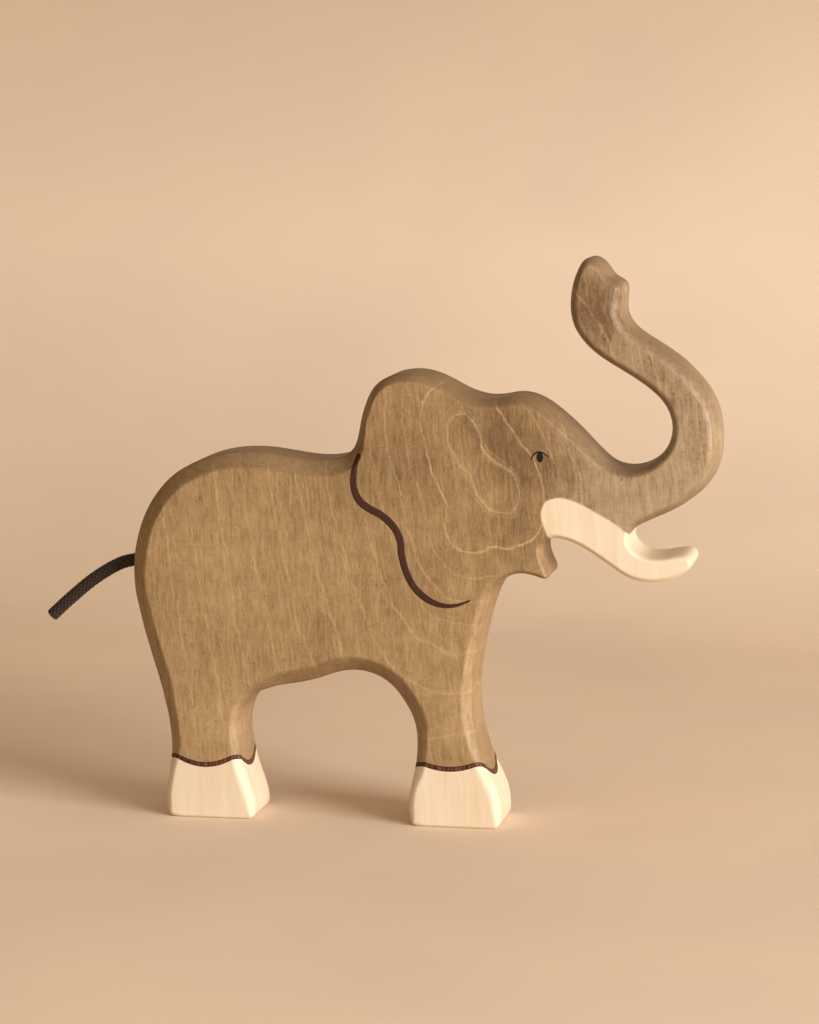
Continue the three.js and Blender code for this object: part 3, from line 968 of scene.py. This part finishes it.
@dataclass
class Board:
    """The body: head, trunk, tusk, torso and legs, all one piece of wood."""

    drawn_length: float = 178.4
    drawn_height: float = 172.0
    samples_per_span: int = 16
    rim_spacing: float = 0.75
    profile_steps: int = 8
    support: float = 0.45
    corner_passes: int = 4
    edge_blend: float = 5.0
    tail_hole_radius: float = 2.25
    tail_hole_depth: float = 13.0

    sole: Edge = Edge(0.9, 0.9, 0.8)
    foot: Edge = Edge(2.8, 2.8, 0.85)
    shin: Edge = Edge(2.3, 2.5, 0.35)
    ham: Edge = Edge(3.6, 3.4, 0.25)
    torso: Edge = Edge(4.6, 4.5, 0.15)
    chest: Edge = Edge(2.8, 2.8, 0.45)
    jaw: Edge = Edge(1.5, 4.0, 0.9)
    tusk: Edge = Edge(0.9, 2.4, 0.9)
    trunk_outer: Edge = Edge(3.4, 8.5, 1.0)
    trunk_bend: Edge = Edge(3.6, 10.0, 1.0)
    trunk_inner: Edge = Edge(2.6, 7.5, 1.0)
    curl: Edge = Edge(2.2, 5.5, 0.7)
    head: Edge = Edge(2.4, 4.0, 0.25)

    def __post_init__(self) -> None:
        """Reads the board's real size and place from the frame."""
        self.low, self.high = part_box("body")

    @property
    def drawn_scale(self) -> tuple[float, float, float]:
        """Drawn millimetres in one metre along X, Y and Z."""
        return (
            self.drawn_length / (self.high.x - self.low.x),
            1 / MM,
            self.drawn_height / (self.high.z - self.low.z),
        )

    @property
    def half_thickness(self) -> float:
        """Half the board's thickness in metres."""
        return (self.high.y - self.low.y) / 2

    def at(self, x: float, z: float, y: float = 0.0) -> Vector:
        """A drawn point in metres.

        Args:
            x: Drawn millimetres along the elephant.
            z: Drawn millimetres up.
            y: Millimetres through the board.

        Returns:
            The point in the frame.
        """
        return Vector((x / self.drawn_scale[0], y * MM, z / self.drawn_scale[2]))

    def runs(self) -> tuple[Run, ...]:
        """The outer edge, anticlockwise from the hind sole.

        Returns:
            Its runs, in order.
        """
        return (
            Run(self.sole, ((-77.6, 0), (-51.8, 0)), straight=True),
            Run(self.foot, ((-51.3, 1.6), (-51.2, 4.2), (-52.2, 8.2), (-53.8, 12.7))),
            Run(self.shin, ((-55.3, 17.6), (-56.2, 23), (-56.5, 28), (-55.8, 32))),
            Run(Edge(2.8, 3.0, 0.4), ((-55.1, 34), (-54, 35.8), (-52.5, 37.6), (-50.6, 39))),
            Run(
                self.torso,
                (
                    (-45, 41), (-38, 42.2), (-31.6, 43.8), (-26, 45.8), (-20.4, 46.7),
                    (-14.8, 45.7), (-9.6, 42.8), (-5.5, 38), (-2.5, 32.4),
                ),
            ),
            Run(Edge(3.4, 3.4, 0.4), ((-1.3, 27.4), (-1.2, 22.5), (-1.6, 18.2))),
            Run(Edge(1.9, 1.9, 0.5), ((-2.3, 14.6), (-3, 11), (-3.5, 7.2), (-3.4, 4), (-3.0, 1.8))),
            Run(self.sole, ((-2.4, 0), (23.8, 0)), straight=True),
            Run(self.foot, ((24.5, 2), (24.7, 5), (24, 9.4), (22.3, 13.7), (20.4, 17.4))),
            Run(self.chest, ((18.9, 21.2), (17.6, 25.4), (16.4, 30), (15.6, 35.5), (15.5, 41.5))),
            Run(self.chest, ((16.1, 48), (17.3, 55), (18.9, 62), (20.6, 68))),
            Run(self.jaw, ((22.9, 73.2), (25.4, 76), (28.8, 77.6), (32, 77.6), (35.2, 76.8))),
            Run(self.jaw, ((37.2, 76.1), (38.5, 76.2), (39, 77.2), (38.6, 79))),
            Run(self.jaw, ((37.4, 81.4), (36.6, 84.4), (37, 87))),
            Run(
                Edge(1.5, 3.4, 0.5),
                (
                    (39.2, 88.6), (42.8, 88.3), (46.7, 87), (50.7, 84.8), (54.7, 82.2), (58.6, 79.5),
                    (62.6, 77.2), (67.4, 76.1), (72.2, 76.4), (76.4, 77.7),
                ),
            ),
            Run(self.tusk, arc((79.1, 82.2), 2.5, -45, 110), straight=True),
            Run(
                self.tusk,
                ((75.8, 84.3), (73.1, 83.7), (69.8, 83.4), (66.6, 83.8), (64.1, 85.4), (62.2, 88)),
            ),
            Run(self.curl, ((63.4, 91.6), (67.2, 93.8), (71.7, 95.9), (76.1, 98))),
            Run(
                self.trunk_bend,
                (
                    (80.4, 100.7), (84.1, 103.8), (87, 107.6), (88.6, 112), (89.2, 116.5), (89.2, 121),
                    (88.5, 125.5), (87, 129.9), (84.6, 134), (81.1, 138.1),
                ),
            ),
            Run(
                self.trunk_outer,
                (
                    (77.3, 141.6), (73.5, 144.3), (69.4, 146.9), (65.5, 149.3), (62.3, 151.9),
                    (60.4, 155.2), (60.2, 159),
                ),
            ),
            Run(
                Edge(1.7, 6.0, 0.9),
                ((60.4, 162.4), (59.6, 164.5), (57.8, 165.4), (56.2, 166.2), (55.2, 167.6), (54, 169.6)),
            ),
            Run(Edge(2.4, 8.0, 1.0), arc((50.1, 168.8), 3.2, 50, 150), straight=True),
            Run(
                self.trunk_inner,
                (
                    (45.3, 165.6), (44.4, 161), (44.3, 156.2), (45.3, 151.9), (47.4, 148.3), (50.1, 145.3),
                    (53.3, 142.7), (56.9, 140.4), (60.7, 138.2), (64.4, 135.9), (68.1, 133.3),
                    (71.3, 130.4), (73.6, 127), (74.7, 123.2), (74.5, 119.3), (72.9, 115.6),
                ),
            ),
            Run(self.curl, ((70.2, 112.6), (66.6, 110.4), (62.4, 109.5), (58.9, 109.9), (55.8, 111.3))),
            Run(
                self.head,
                (
                    (50.4, 116.2), (45.2, 121.3), (40.6, 125.3), (36.3, 128.4), (32, 130.3), (27.7, 130.8),
                    (23.5, 130), (19.5, 129.7), (15.9, 130.3), (12.1, 131.6), (7.9, 133.8), (3.6, 135.8),
                    (-1, 137), (-5.7, 137), (-9.8, 136), (-13.2, 134), (-15.6, 131), (-17.3, 126.8),
                    (-18.5, 122.4), (-19.2, 118.4),
                ),
            ),
            Run(
                self.torso,
                (
                    (-20.4, 114.6), (-23, 112), (-27, 110.8), (-32.4, 110.4), (-37.7, 110.9),
                    (-43.3, 111.7), (-48.8, 112.4), (-54.5, 112.5), (-60, 112), (-66, 110.5),
                    (-71, 108.3), (-75.6, 105.6),
                    (-80, 101.5), (-83.6, 96.5), (-86.3, 91), (-88, 85.4), (-89, 80), (-89.2, 74.6),
                    (-88.8, 69), (-87.5, 63), (-86, 56.8), (-83.9, 49.7), (-81.7, 42.6),
                ),
            ),
            Run(self.ham, ((-79.8, 36), (-78.5, 31.2), (-77.9, 26.8), (-77.5, 22.5))),
            Run(
                Edge(2.0, 2.0, 0.45),
                ((-77.4, 18.4), (-77.8, 14.4), (-78.5, 10.6), (-79, 6.6), (-78.7, 2.6)),
            ),
        )

    def rim(self) -> np.ndarray:
        """Samples the outer edge evenly, with its corners just broken by sanding.

        Returns:
            Rows of x, z, edge width, edge depth and roundness, in millimetres.
        """
        runs = self.runs()
        points = np.array([p for run in runs for p in run.points], float)
        edges = np.array(
            [(run.edge.width, run.edge.depth, run.edge.roundness) for run in runs for _ in run.points]
        )
        closed = np.vstack([points[-2:], points, points[:2]])
        per_span = self.samples_per_span
        smooth = smooth_curve(closed, per_span)[2 * per_span :][: per_span * len(points)]
        flat_spans = set()
        index = 0
        for run in runs:
            if run.straight:
                flat_spans.update(range(index, index + len(run.points) - 1))
            index += len(run.points)
        for span in flat_spans:
            share = np.arange(per_span)[:, None] / per_span
            a, b = points[span], points[(span + 1) % len(points)]
            smooth[span * per_span : (span + 1) * per_span] = a + (b - a) * share
        edge_rows = np.repeat(edges, per_span, axis=0)
        length = np.linalg.norm(np.diff(smooth, axis=0), axis=1).sum()
        count = int(length / self.rim_spacing)
        rows = evenly(np.hstack([smooth, edge_rows]), count, closed=True)
        for _ in range(self.corner_passes):
            rows[:, :2] = (np.roll(rows[:, :2], 1, 0) + 2 * rows[:, :2] + np.roll(rows[:, :2], -1, 0)) / 4
        blend_passes = int((self.edge_blend / self.rim_spacing) ** 2 / 2)
        for _ in range(blend_passes):
            rows[:, 2:] = (np.roll(rows[:, 2:], 1, 0) + 2 * rows[:, 2:] + np.roll(rows[:, 2:], -1, 0)) / 4
        return rows

    def inset(self, rim: np.ndarray, widths: np.ndarray, share: float) -> tuple[np.ndarray, np.ndarray]:
        """Moves a closed line inwards, but nowhere past the middle of the wood.

        The middle is where a circle that touches the line from inside also touches it elsewhere,
        so sharp corners come out mitred and no two edges cross.

        Args:
            rim: The line's points, anticlockwise.
            widths: How far each point should move.
            share: The most that a point moves, as a share of its circle's radius.

        Returns:
            The moved points, and how far each one moved.
        """
        along = np.roll(rim, -1, 0) - np.roll(rim, 1, 0)
        along /= np.linalg.norm(along, axis=1)[:, None]
        inward = np.column_stack([-along[:, 1], along[:, 0]])
        chords = rim[None, :, :] - rim[:, None, :]
        rise = (chords * inward[:, None, :]).sum(2)
        with np.errstate(divide="ignore", invalid="ignore"):
            radii = np.where(rise > 1e-6, (chords**2).sum(2) / (2 * rise), np.inf)
        moved = np.minimum(widths, radii.min(1) * share)
        return rim + inward * moved[:, None], moved

    def rings(self) -> list[np.ndarray]:
        """The loops of the near half, from the middle of the board's thickness to the flat face.

        Returns:
            Loops of x, y, z in drawn millimetres.
        """
        rows = self.rim()
        rim, width, depth, roundness = rows[:, :2], rows[:, 2], rows[:, 3], rows[:, 4]
        half = self.half_thickness / MM
        inner, moved = self.inset(rim, width, 0.8)
        flat, _ = self.inset(rim, moved + self.support, 0.92)
        loops = [(rim, np.zeros(len(rim)))]
        loops.append((rim, -(half - depth) * 0.55))
        loops.append((rim, -(half - depth - 0.4)))
        for i in range(self.profile_steps + 1):
            angle = math.pi / 2 * i / self.profile_steps
            round_in, round_down = 1 - math.cos(angle), math.sin(angle)
            straight = (round_in + round_down) / 2
            share_in = straight + (round_in - straight) * roundness
            share_down = straight + (round_down - straight) * roundness
            loops.append((rim + (inner - rim) * share_in[:, None], -(half - depth * (1 - share_down))))
        loops.append((flat, np.full(len(rim), -half)))
        return [np.column_stack([plan[:, 0], y, plan[:, 1]]) for plan, y in loops]

    def mesh(self) -> bmesh.types.BMesh:
        """Draws the rim, extrudes it ring by ring over the eased edge, closes the face and mirrors it.

        Returns:
            The whole board as a bmesh, without its hole.
        """
        loops = self.rings()
        bm = bmesh.new()
        ring = bmesh.ops.create_circle(bm, segments=len(loops[0]), radius=1)["verts"]
        edges = list(dict.fromkeys(edge for vertex in ring for edge in vertex.link_edges))
        for vertex, (x, y, z) in zip(ring, loops[0]):
            vertex.co = self.at(x, z, y)
        for loop in loops[1:]:
            made = bmesh.ops.extrude_edge_only(bm, edges=edges)["geom"]
            fresh = {item for item in made if isinstance(item, bmesh.types.BMVert)}
            edges = [e for e in made if isinstance(e, bmesh.types.BMEdge) and set(e.verts) <= fresh]
            ring = [
                next(e.other_vert(vertex) for e in vertex.link_edges if e.other_vert(vertex) in fresh)
                for vertex in ring
            ]
            for vertex, (x, y, z) in zip(ring, loop):
                vertex.co = self.at(x, z, y)
        face = bmesh.ops.contextual_create(bm, geom=edges)["faces"]
        bmesh.ops.triangulate(bm, faces=face, quad_method="BEAUTY", ngon_method="BEAUTY")
        bmesh.ops.mirror(bm, geom=bm.verts[:] + bm.edges[:] + bm.faces[:], axis="Y", merge_dist=1e-6)
        bmesh.ops.remove_doubles(bm, verts=bm.verts[:], dist=0.01 * MM)
        bmesh.ops.dissolve_degenerate(bm, edges=bm.edges[:], dist=0.001 * MM)
        bmesh.ops.recalc_face_normals(bm, faces=bm.faces[:])
        return bm

    def drill(self, board: bpy.types.Object) -> None:
        """Drills the blind hole for the tail into the rump.

        Args:
            board: The board, whose mesh is replaced by the drilled one.
        """
        bm = bmesh.new()
        mouth = TAIL.mouth()
        length = (self.tail_hole_depth + 6) * MM
        made = bmesh.ops.create_cone(
            bm, segments=48, cap_ends=True, radius1=self.tail_hole_radius * MM,
            radius2=self.tail_hole_radius * MM, depth=length,
        )["verts"]
        bmesh.ops.rotate(bm, verts=made, cent=(0, 0, 0), matrix=Matrix.Rotation(math.pi / 2, 3, "Y"))
        middle = mouth + Vector((self.tail_hole_depth * MM - length / 2, 0, 0))
        bmesh.ops.translate(bm, verts=made, vec=middle)
        mesh = bpy.data.meshes.new("drill")
        bm.to_mesh(mesh)
        bm.free()
        drill = bpy.data.objects.new("drill", mesh)
        bpy.context.scene.collection.objects.link(drill)
        cut = board.modifiers.new("tail_hole", "BOOLEAN")
        cut.operation = "DIFFERENCE"
        cut.solver = "EXACT"
        cut.object = drill
        bpy.context.view_layer.update()
        evaluated = board.evaluated_get(bpy.context.evaluated_depsgraph_get())
        drilled = bpy.data.meshes.new_from_object(evaluated)
        board.modifiers.clear()
        old = board.data
        board.data = drilled
        drilled.name = board.name
        bpy.data.meshes.remove(old)
        bpy.data.objects.remove(drill)
        bpy.data.meshes.remove(mesh)

    def build(self) -> bpy.types.Object:
        """Makes the board, drills it and dresses it in stained maple.

        Returns:
            The piece.
        """
        board = finished("elephant_board", self.mesh(), StainedMaple().material())
        self.surface = BVHTree.FromObject(board, bpy.context.evaluated_depsgraph_get())
        self.drill(board)
        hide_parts("body")
        return board

    def touch(self, origin: Vector, direction: Vector) -> tuple[Vector, Vector]:
        """Where a straight line meets the board.

        Args:
            origin: Where the line starts.
            direction: Which way it goes.

        Returns:
            The point and the surface's direction there, pointing out of the wood.
        """
        point, normal, _, _ = self.surface.ray_cast(origin, direction)
        return point, normal

    def face_at(self, x: float, z: float, side: Side) -> tuple[Vector, Vector]:
        """Where the wood's flat side is, seen squarely.

        Args:
            x: Drawn millimetres along the elephant.
            z: Drawn millimetres up.
            side: The side it is seen from.

        Returns:
            The point and the surface's direction there.
        """
        return self.touch(self.at(x, z, CLEAR_OF_WOOD * side.value), Vector((0, -side.value, 0)))


# ---------------------------------------------------------------- the tail


@dataclass
class Tail:
    """A short length of 16-strand braided cord, glued into the rump."""

    diameter: float = 4.0
    buried: float = 11.0
    mouth_x: float = -89.1
    mouth_z: float = 77.6
    carriers: int = 8
    pitch: float = 13.0
    strand_width: float = 1.25
    strand_height: float = 0.6
    step: float = 0.3
    sides: int = 6
    core_share: float = 0.62
    weave_share: float = 0.28
    core_taper_from: float = 0.985
    strand_taper_from: float = 0.992
    # The middle line outside the hole, in millimetres from its mouth.
    route: tuple[Point, ...] = (
        (0, 0), (-2.5, -0.3), (-5.6, -1.1), (-8.8, -2.6), (-12.3, -4.7), (-14.2, -6.0), (-16, -7.3),
        (-19.2, -9.9), (-22.4, -12.7), (-24, -14.1), (-25.5, -15.5), (-28.7, -18.5),
    )

    def mouth(self) -> Vector:
        """The middle of the hole's mouth."""
        return BOARD.at(self.mouth_x, self.mouth_z)

    def path(self) -> list[Vector]:
        """The cord's middle line, from its end in the hole to its free end, in metres.

        Returns:
            Its points.
        """
        inside = [(self.buried * share, 0.0) for share in (1, 2 / 3, 1 / 3)]
        return [self.mouth() + Vector((x, 0, z)) * MM for x, z in (*inside, *self.route)]

    def build(self) -> bpy.types.Object:
        """Braids the cord round a core along its path.

        Returns:
            The piece.
        """
        samples = smooth_curve([tuple(p) for p in self.path()], 24)
        length = np.linalg.norm(np.diff(samples, axis=0), axis=1).sum()
        count = int(length / (self.step * MM))
        line = evenly(samples, count)
        ahead = np.gradient(line, axis=0)
        ahead /= np.linalg.norm(ahead, axis=1)[:, None]
        aside = np.tile([0.0, 1.0, 0.0], (count, 1))
        up = np.cross(ahead, aside)
        bm = bmesh.new()
        radius = self.diameter / 2 * MM

        def on_cord(share: float, angle: float, out: float) -> Vector:
            """A point beside the middle line, by share of its length, angle and distance out.

            Args:
                share: The share of the cord's length.
                angle: The angle round the middle line.
                out: The distance from it in metres.

            Returns:
                The point.
            """
            place = share * (count - 1)
            i = min(int(place), count - 2)
            t = place - i
            middle = line[i] * (1 - t) + line[i + 1] * t
            return Vector(middle + (aside[i] * math.cos(angle) + up[i] * math.sin(angle)) * out)

        core = radius * self.core_share
        shaped_grid(
            bm, count // 3, 12,
            lambda u, v: on_cord(u, v * 2 * math.pi, core * end_taper(u, self.core_taper_from)),
        )
        lift = self.strand_height * self.weave_share * MM
        middle_out = radius - self.strand_height / 2 * MM - lift * 0.5
        turns = length / (self.pitch * MM)
        for way in (1, -1):
            for k in range(self.carriers):
                start = 2 * math.pi * k / self.carriers

                def on_strand(u: float, v: float, way: int = way, start: float = start) -> Vector:
                    """A point on one strand, which goes over and under those of the other way.

                    Args:
                        u: The share of the cord's length.
                        v: The share round the strand.
                        way: Which way it winds.
                        start: Its angle at the start.

                    Returns:
                        The point.
                    """
                    turn = way * 2 * math.pi * turns * u + start
                    weave = math.cos(self.carriers * 2 * math.pi * turns * u) * way
                    round_it = v * 2 * math.pi
                    wide = self.strand_width / 2 * MM * math.cos(round_it) / radius
                    tall = self.strand_height / 2 * MM * math.sin(round_it)
                    taper = end_taper(u, self.strand_taper_from)
                    out = (middle_out + lift * weave) * (0.35 + 0.65 * taper) + tall * taper
                    return on_cord(u, turn + wide * taper, out)

                shaped_grid(bm, count, self.sides, on_strand)
        bmesh.ops.remove_doubles(bm, verts=bm.verts[:], dist=0.002 * MM)
        bmesh.ops.holes_fill(bm, edges=[e for e in bm.edges if e.is_boundary], sides=20)
        bmesh.ops.recalc_face_normals(bm, faces=bm.faces[:])
        cord = finished("braided_tail", bm, WaxedBraid().material())
        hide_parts("tail_cord")
        tuple(self.mouth())
        LOG.info("tail cord: %.1f mm", length / MM)
        return cord


def end_taper(share: float, start: float) -> float:
    """How full the cord is at a share of its length: 1 up to start, then closing in a round end.

    Args:
        share: The share of its length.
        start: Where the end begins to close.

    Returns:
        Its fullness, from nearly 0 to 1.
    """
    if share <= start:
        return 1.0
    return math.sqrt(max(1 - ((share - start) / (1 - start)) ** 2, 0.0)) * 0.999 + 0.001


# ---------------------------------------------------------------- the paint


@dataclass
class Paint:
    """The brushed lines: ear lines, eyes, lashes and ankle bands, each a thin domed coat."""

    thickness: float = 0.09
    ear_width: float = 2.4
    ear_start_width: float = 1.5
    ear_end_width: float = 0.5
    band_height: float = 1.6
    eye_centre: Point = (36.2, 113.0)
    eye_width: float = 2.1
    eye_height: float = 3.1
    lash_width: float = 0.55
    lash_line: tuple[Point, ...] = (
        (33.6, 112.1), (34, 113.3), (34.8, 114.2), (36, 114.6), (37.3, 114.2), (38.6, 113.2),
    )
    ear_line: tuple[Point, ...] = (
        (-18.3, 113), (-19.5, 109.6), (-20, 106), (-19.8, 102.4), (-18.2, 98.8), (-15.4, 96.6),
        (-11.6, 94.6), (-8, 91.4), (-5.9, 87.5), (-5.4, 83), (-4.2, 78.2), (-1.5, 73), (2.8, 69.3),
        (7, 67.8), (11, 67.9),
        (15.6, 69.6),
    )

    def lay(
        self, bm: bmesh.types.BMesh, columns: int, rows: int, place: SurfacePlace, seam: bool = False
    ) -> None:
        """Lays a thin coat whose face is domed and whose back is sunk into the wood.

        Args:
            bm: The mesh to add it to.
            columns: Steps along the stroke.
            rows: Steps across it.
            place: Gives a surface point and its direction from the shares along and across.
            seam: Whether the stroke closes on itself.
        """

        def domed(u: float, v: float) -> Vector:
            """The coat's own face at these shares.

            Args:
                u: The share along.
                v: The share across.

            Returns:
                The point.
            """
            point, normal = place(u, v)
            swell = math.sqrt(max(1 - (2 * v - 1) ** 4, 0))
            return point + normal * self.thickness * MM * (swell * 1.1 - 0.1)

        shaped_grid(bm, columns, rows, domed)
        if seam:
            bmesh.ops.remove_doubles(bm, verts=bm.verts[:], dist=0.002 * MM)
        bmesh.ops.recalc_face_normals(bm, faces=bm.faces[:])

    def stroke(self, line: np.ndarray, widths: Callable[[float], float], side: Side) -> SurfacePlace:
        """How to place a stroke on one flat face.

        Args:
            line: Its middle line, evenly spaced, in drawn millimetres.
            widths: Its width by share of its length.
            side: The face it is on.

        Returns:
            A function from the shares along and across to a surface point and its direction.
        """
        ahead = np.gradient(line, axis=0)
        ahead /= np.linalg.norm(ahead, axis=1)[:, None]
        last = len(line) - 1

        def place(u: float, v: float) -> tuple[Vector, Vector]:
            """The surface point at these shares.

            Args:
                u: The share along.
                v: The share across.

            Returns:
                The point and the surface's direction.
            """
            i = min(int(round(u * last)), last)
            middle, (dx, dz) = line[i], ahead[i]
            half = widths(u) / 2 * (2 * v - 1)
            return BOARD.face_at(middle[0] - dz * half, middle[1] + dx * half, side)

        return place

    def ear(self, side: Side) -> bpy.types.Object:
        """The line round the back of the ear on one face.

        Args:
            side: The face it is on.

        Returns:
            The piece.
        """
        line = evenly(smooth_curve(self.ear_line, 12), 161)
        widths = (self.ear_start_width, self.ear_width, self.ear_width * 0.92, self.ear_end_width)

        def width(u: float) -> float:
            """Width by share: a round start, full at a quarter, thin at the end.

            Args:
                u: The share along.

            Returns:
                The width in millimetres.
            """
            body = np.interp(u, (0, 0.2, 0.78, 1), widths)
            round_off = min(u / 0.012, (1 - u) / 0.01, 1)
            return float(body * math.sqrt(max(1 - (1 - round_off) ** 2, 0.001)))

        bm = bmesh.new()
        self.lay(bm, 160, 8, self.stroke(line, width, side))
        return self.coat(f"ear_line_paint_{side.name.lower()}", bm, BROWN, f"ear_line_{side.name.lower()}")

    def eye(self, side: Side) -> bpy.types.Object:
        """The oval of the eye on one face.

        Args:
            side: The face it is on.

        Returns:
            The piece.
        """
        centre_x, centre_z = self.eye_centre

        def place(u: float, v: float) -> tuple[Vector, Vector]:
            """A point of the oval by share round it and out from its middle.

            Args:
                u: The share round it.
                v: The share across it.

            Returns:
                The point and the surface's direction.
            """
            out = abs(2 * v - 1)
            angle = u * math.pi + (0 if v >= 0.5 else math.pi)
            x = centre_x + self.eye_width / 2 * out * math.cos(angle)
            z = centre_z + self.eye_height / 2 * out * math.sin(angle)
            return BOARD.face_at(x, z, side)

        bm = bmesh.new()
        self.lay(bm, 24, 16, place, seam=True)
        return self.coat(f"eye_paint_{side.name.lower()}", bm, BLACK, f"eye_{side.name.lower()}")

    def lash(self, side: Side) -> bpy.types.Object:
        """The arched lash over the eye on one face.

        Args:
            side: The face it is on.

        Returns:
            The piece.
        """
        line = evenly(smooth_curve(self.lash_line, 12), 61)

        def width(u: float) -> float:
            """Width by share: full in the middle, thinning to both ends.

            Args:
                u: The share along.

            Returns:
                The width in millimetres.
            """
            return self.lash_width * (0.35 + 0.65 * math.sin(math.pi * min(max(u, 0.03), 0.97)) ** 0.5)

        bm = bmesh.new()
        self.lay(bm, 60, 6, self.stroke(line, width, side))
        return self.coat(f"lash_paint_{side.name.lower()}", bm, BLACK, f"eyelash_{side.name.lower()}")

    def band(self, ankle: Ankle) -> bpy.types.Object:
        """The band round one ankle: level at the corners, dipping across the faces and the edges.

        Args:
            ankle: Where it goes.

        Returns:
            The piece.
        """
        half_x, half_y = (ankle.front - ankle.back) / 2, BOARD.half_thickness / MM

        def place(u: float, v: float) -> tuple[Vector, Vector]:
            """The surface point by share round the leg and across the band.

            Args:
                u: The share round the leg.
                v: The share across the band.

            Returns:
                The point and the surface's direction.
            """
            side, t = divmod(u * 4 % 4, 1)
            t = 2 * t - 1
            x, y = ((t, -1), (1, t), (-t, 1), (-1, -t))[int(side)]
            height = ankle.level + self.band_height * (v - 0.5)
            centre = BOARD.at(ankle.middle, height)
            target = Vector((x * half_x, y * half_y, 0)) * MM
            # Each pass follows the dip at the place that the pass before it found.
            for _ in range(3):
                point, normal = BOARD.touch(centre, target.normalized())
                across = (point.x - centre.x) / (half_x * MM)
                through = point.y / (half_y * MM)
                dip = ankle.face_dip * (1 - min(across**2, 1)) + ankle.edge_dip * (1 - min(through**2, 1))
                centre.z = BOARD.at(0, height - dip).z
            return point, normal

        bm = bmesh.new()
        self.lay(bm, 240, 6, place, seam=True)
        return self.coat(f"{ankle.name}_paint", bm, STREAKY_BROWN, ankle.name)

    def coat(self, name: str, bm: bmesh.types.BMesh, paint: BrushedPaint, node: str) -> bpy.types.Object:
        """Gives a coat its back and its finish, and lets it stand for its CAD node.

        Args:
            name: The piece's name.
            bm: Its face.
            paint: The paint.
            node: The CAD node it stands for.

        Returns:
            The piece.
        """
        bmesh.ops.solidify(bm, geom=bm.faces[:], thickness=self.thickness * MM)
        bmesh.ops.recalc_face_normals(bm, faces=bm.faces[:])
        material = bpy.data.materials.get(paint.name) or paint.material()
        piece = finished(name, bm, material)
        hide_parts(node)
        return piece

    def build(self) -> None:
        """Paints both faces and both ankles."""
        for side in Side:
            self.ear(side)
            self.eye(side)
            self.lash(side)
        self.band(REAR_ANKLE)
        self.band(FRONT_ANKLE)


BROWN = BrushedPaint("dark_brown_brushed_paint", dark="#3A211A", light="#4E2B1F")
STREAKY_BROWN = BrushedPaint("thin_brown_brushed_paint", dark="#301C16", light="#8A4E2A")
BLACK = BrushedPaint("black_brushed_paint", dark="#0B0B0C", light="#1E1C1B")
BOARD = Board()
TAIL = Tail()


def dress_glue() -> None:
    """Gives the CAD glue plug its finish."""
    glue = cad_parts["tail_glue"]
    glue.data.materials.clear()
    glue.data.materials.append(SetGlue().material())


def main() -> None:
    """Builds the camera, the cord, the board, the paint and the studio, in that order."""
    logging.basicConfig(level=logging.INFO, format="%(name)s: %(message)s")
    studio = Studio()
    studio.set_camera()
    TAIL.build()
    BOARD.build()
    Paint().build()
    dress_glue()
    studio.hang_paper()
    studio.set_lights()


if __name__ == "__main__":
    main()
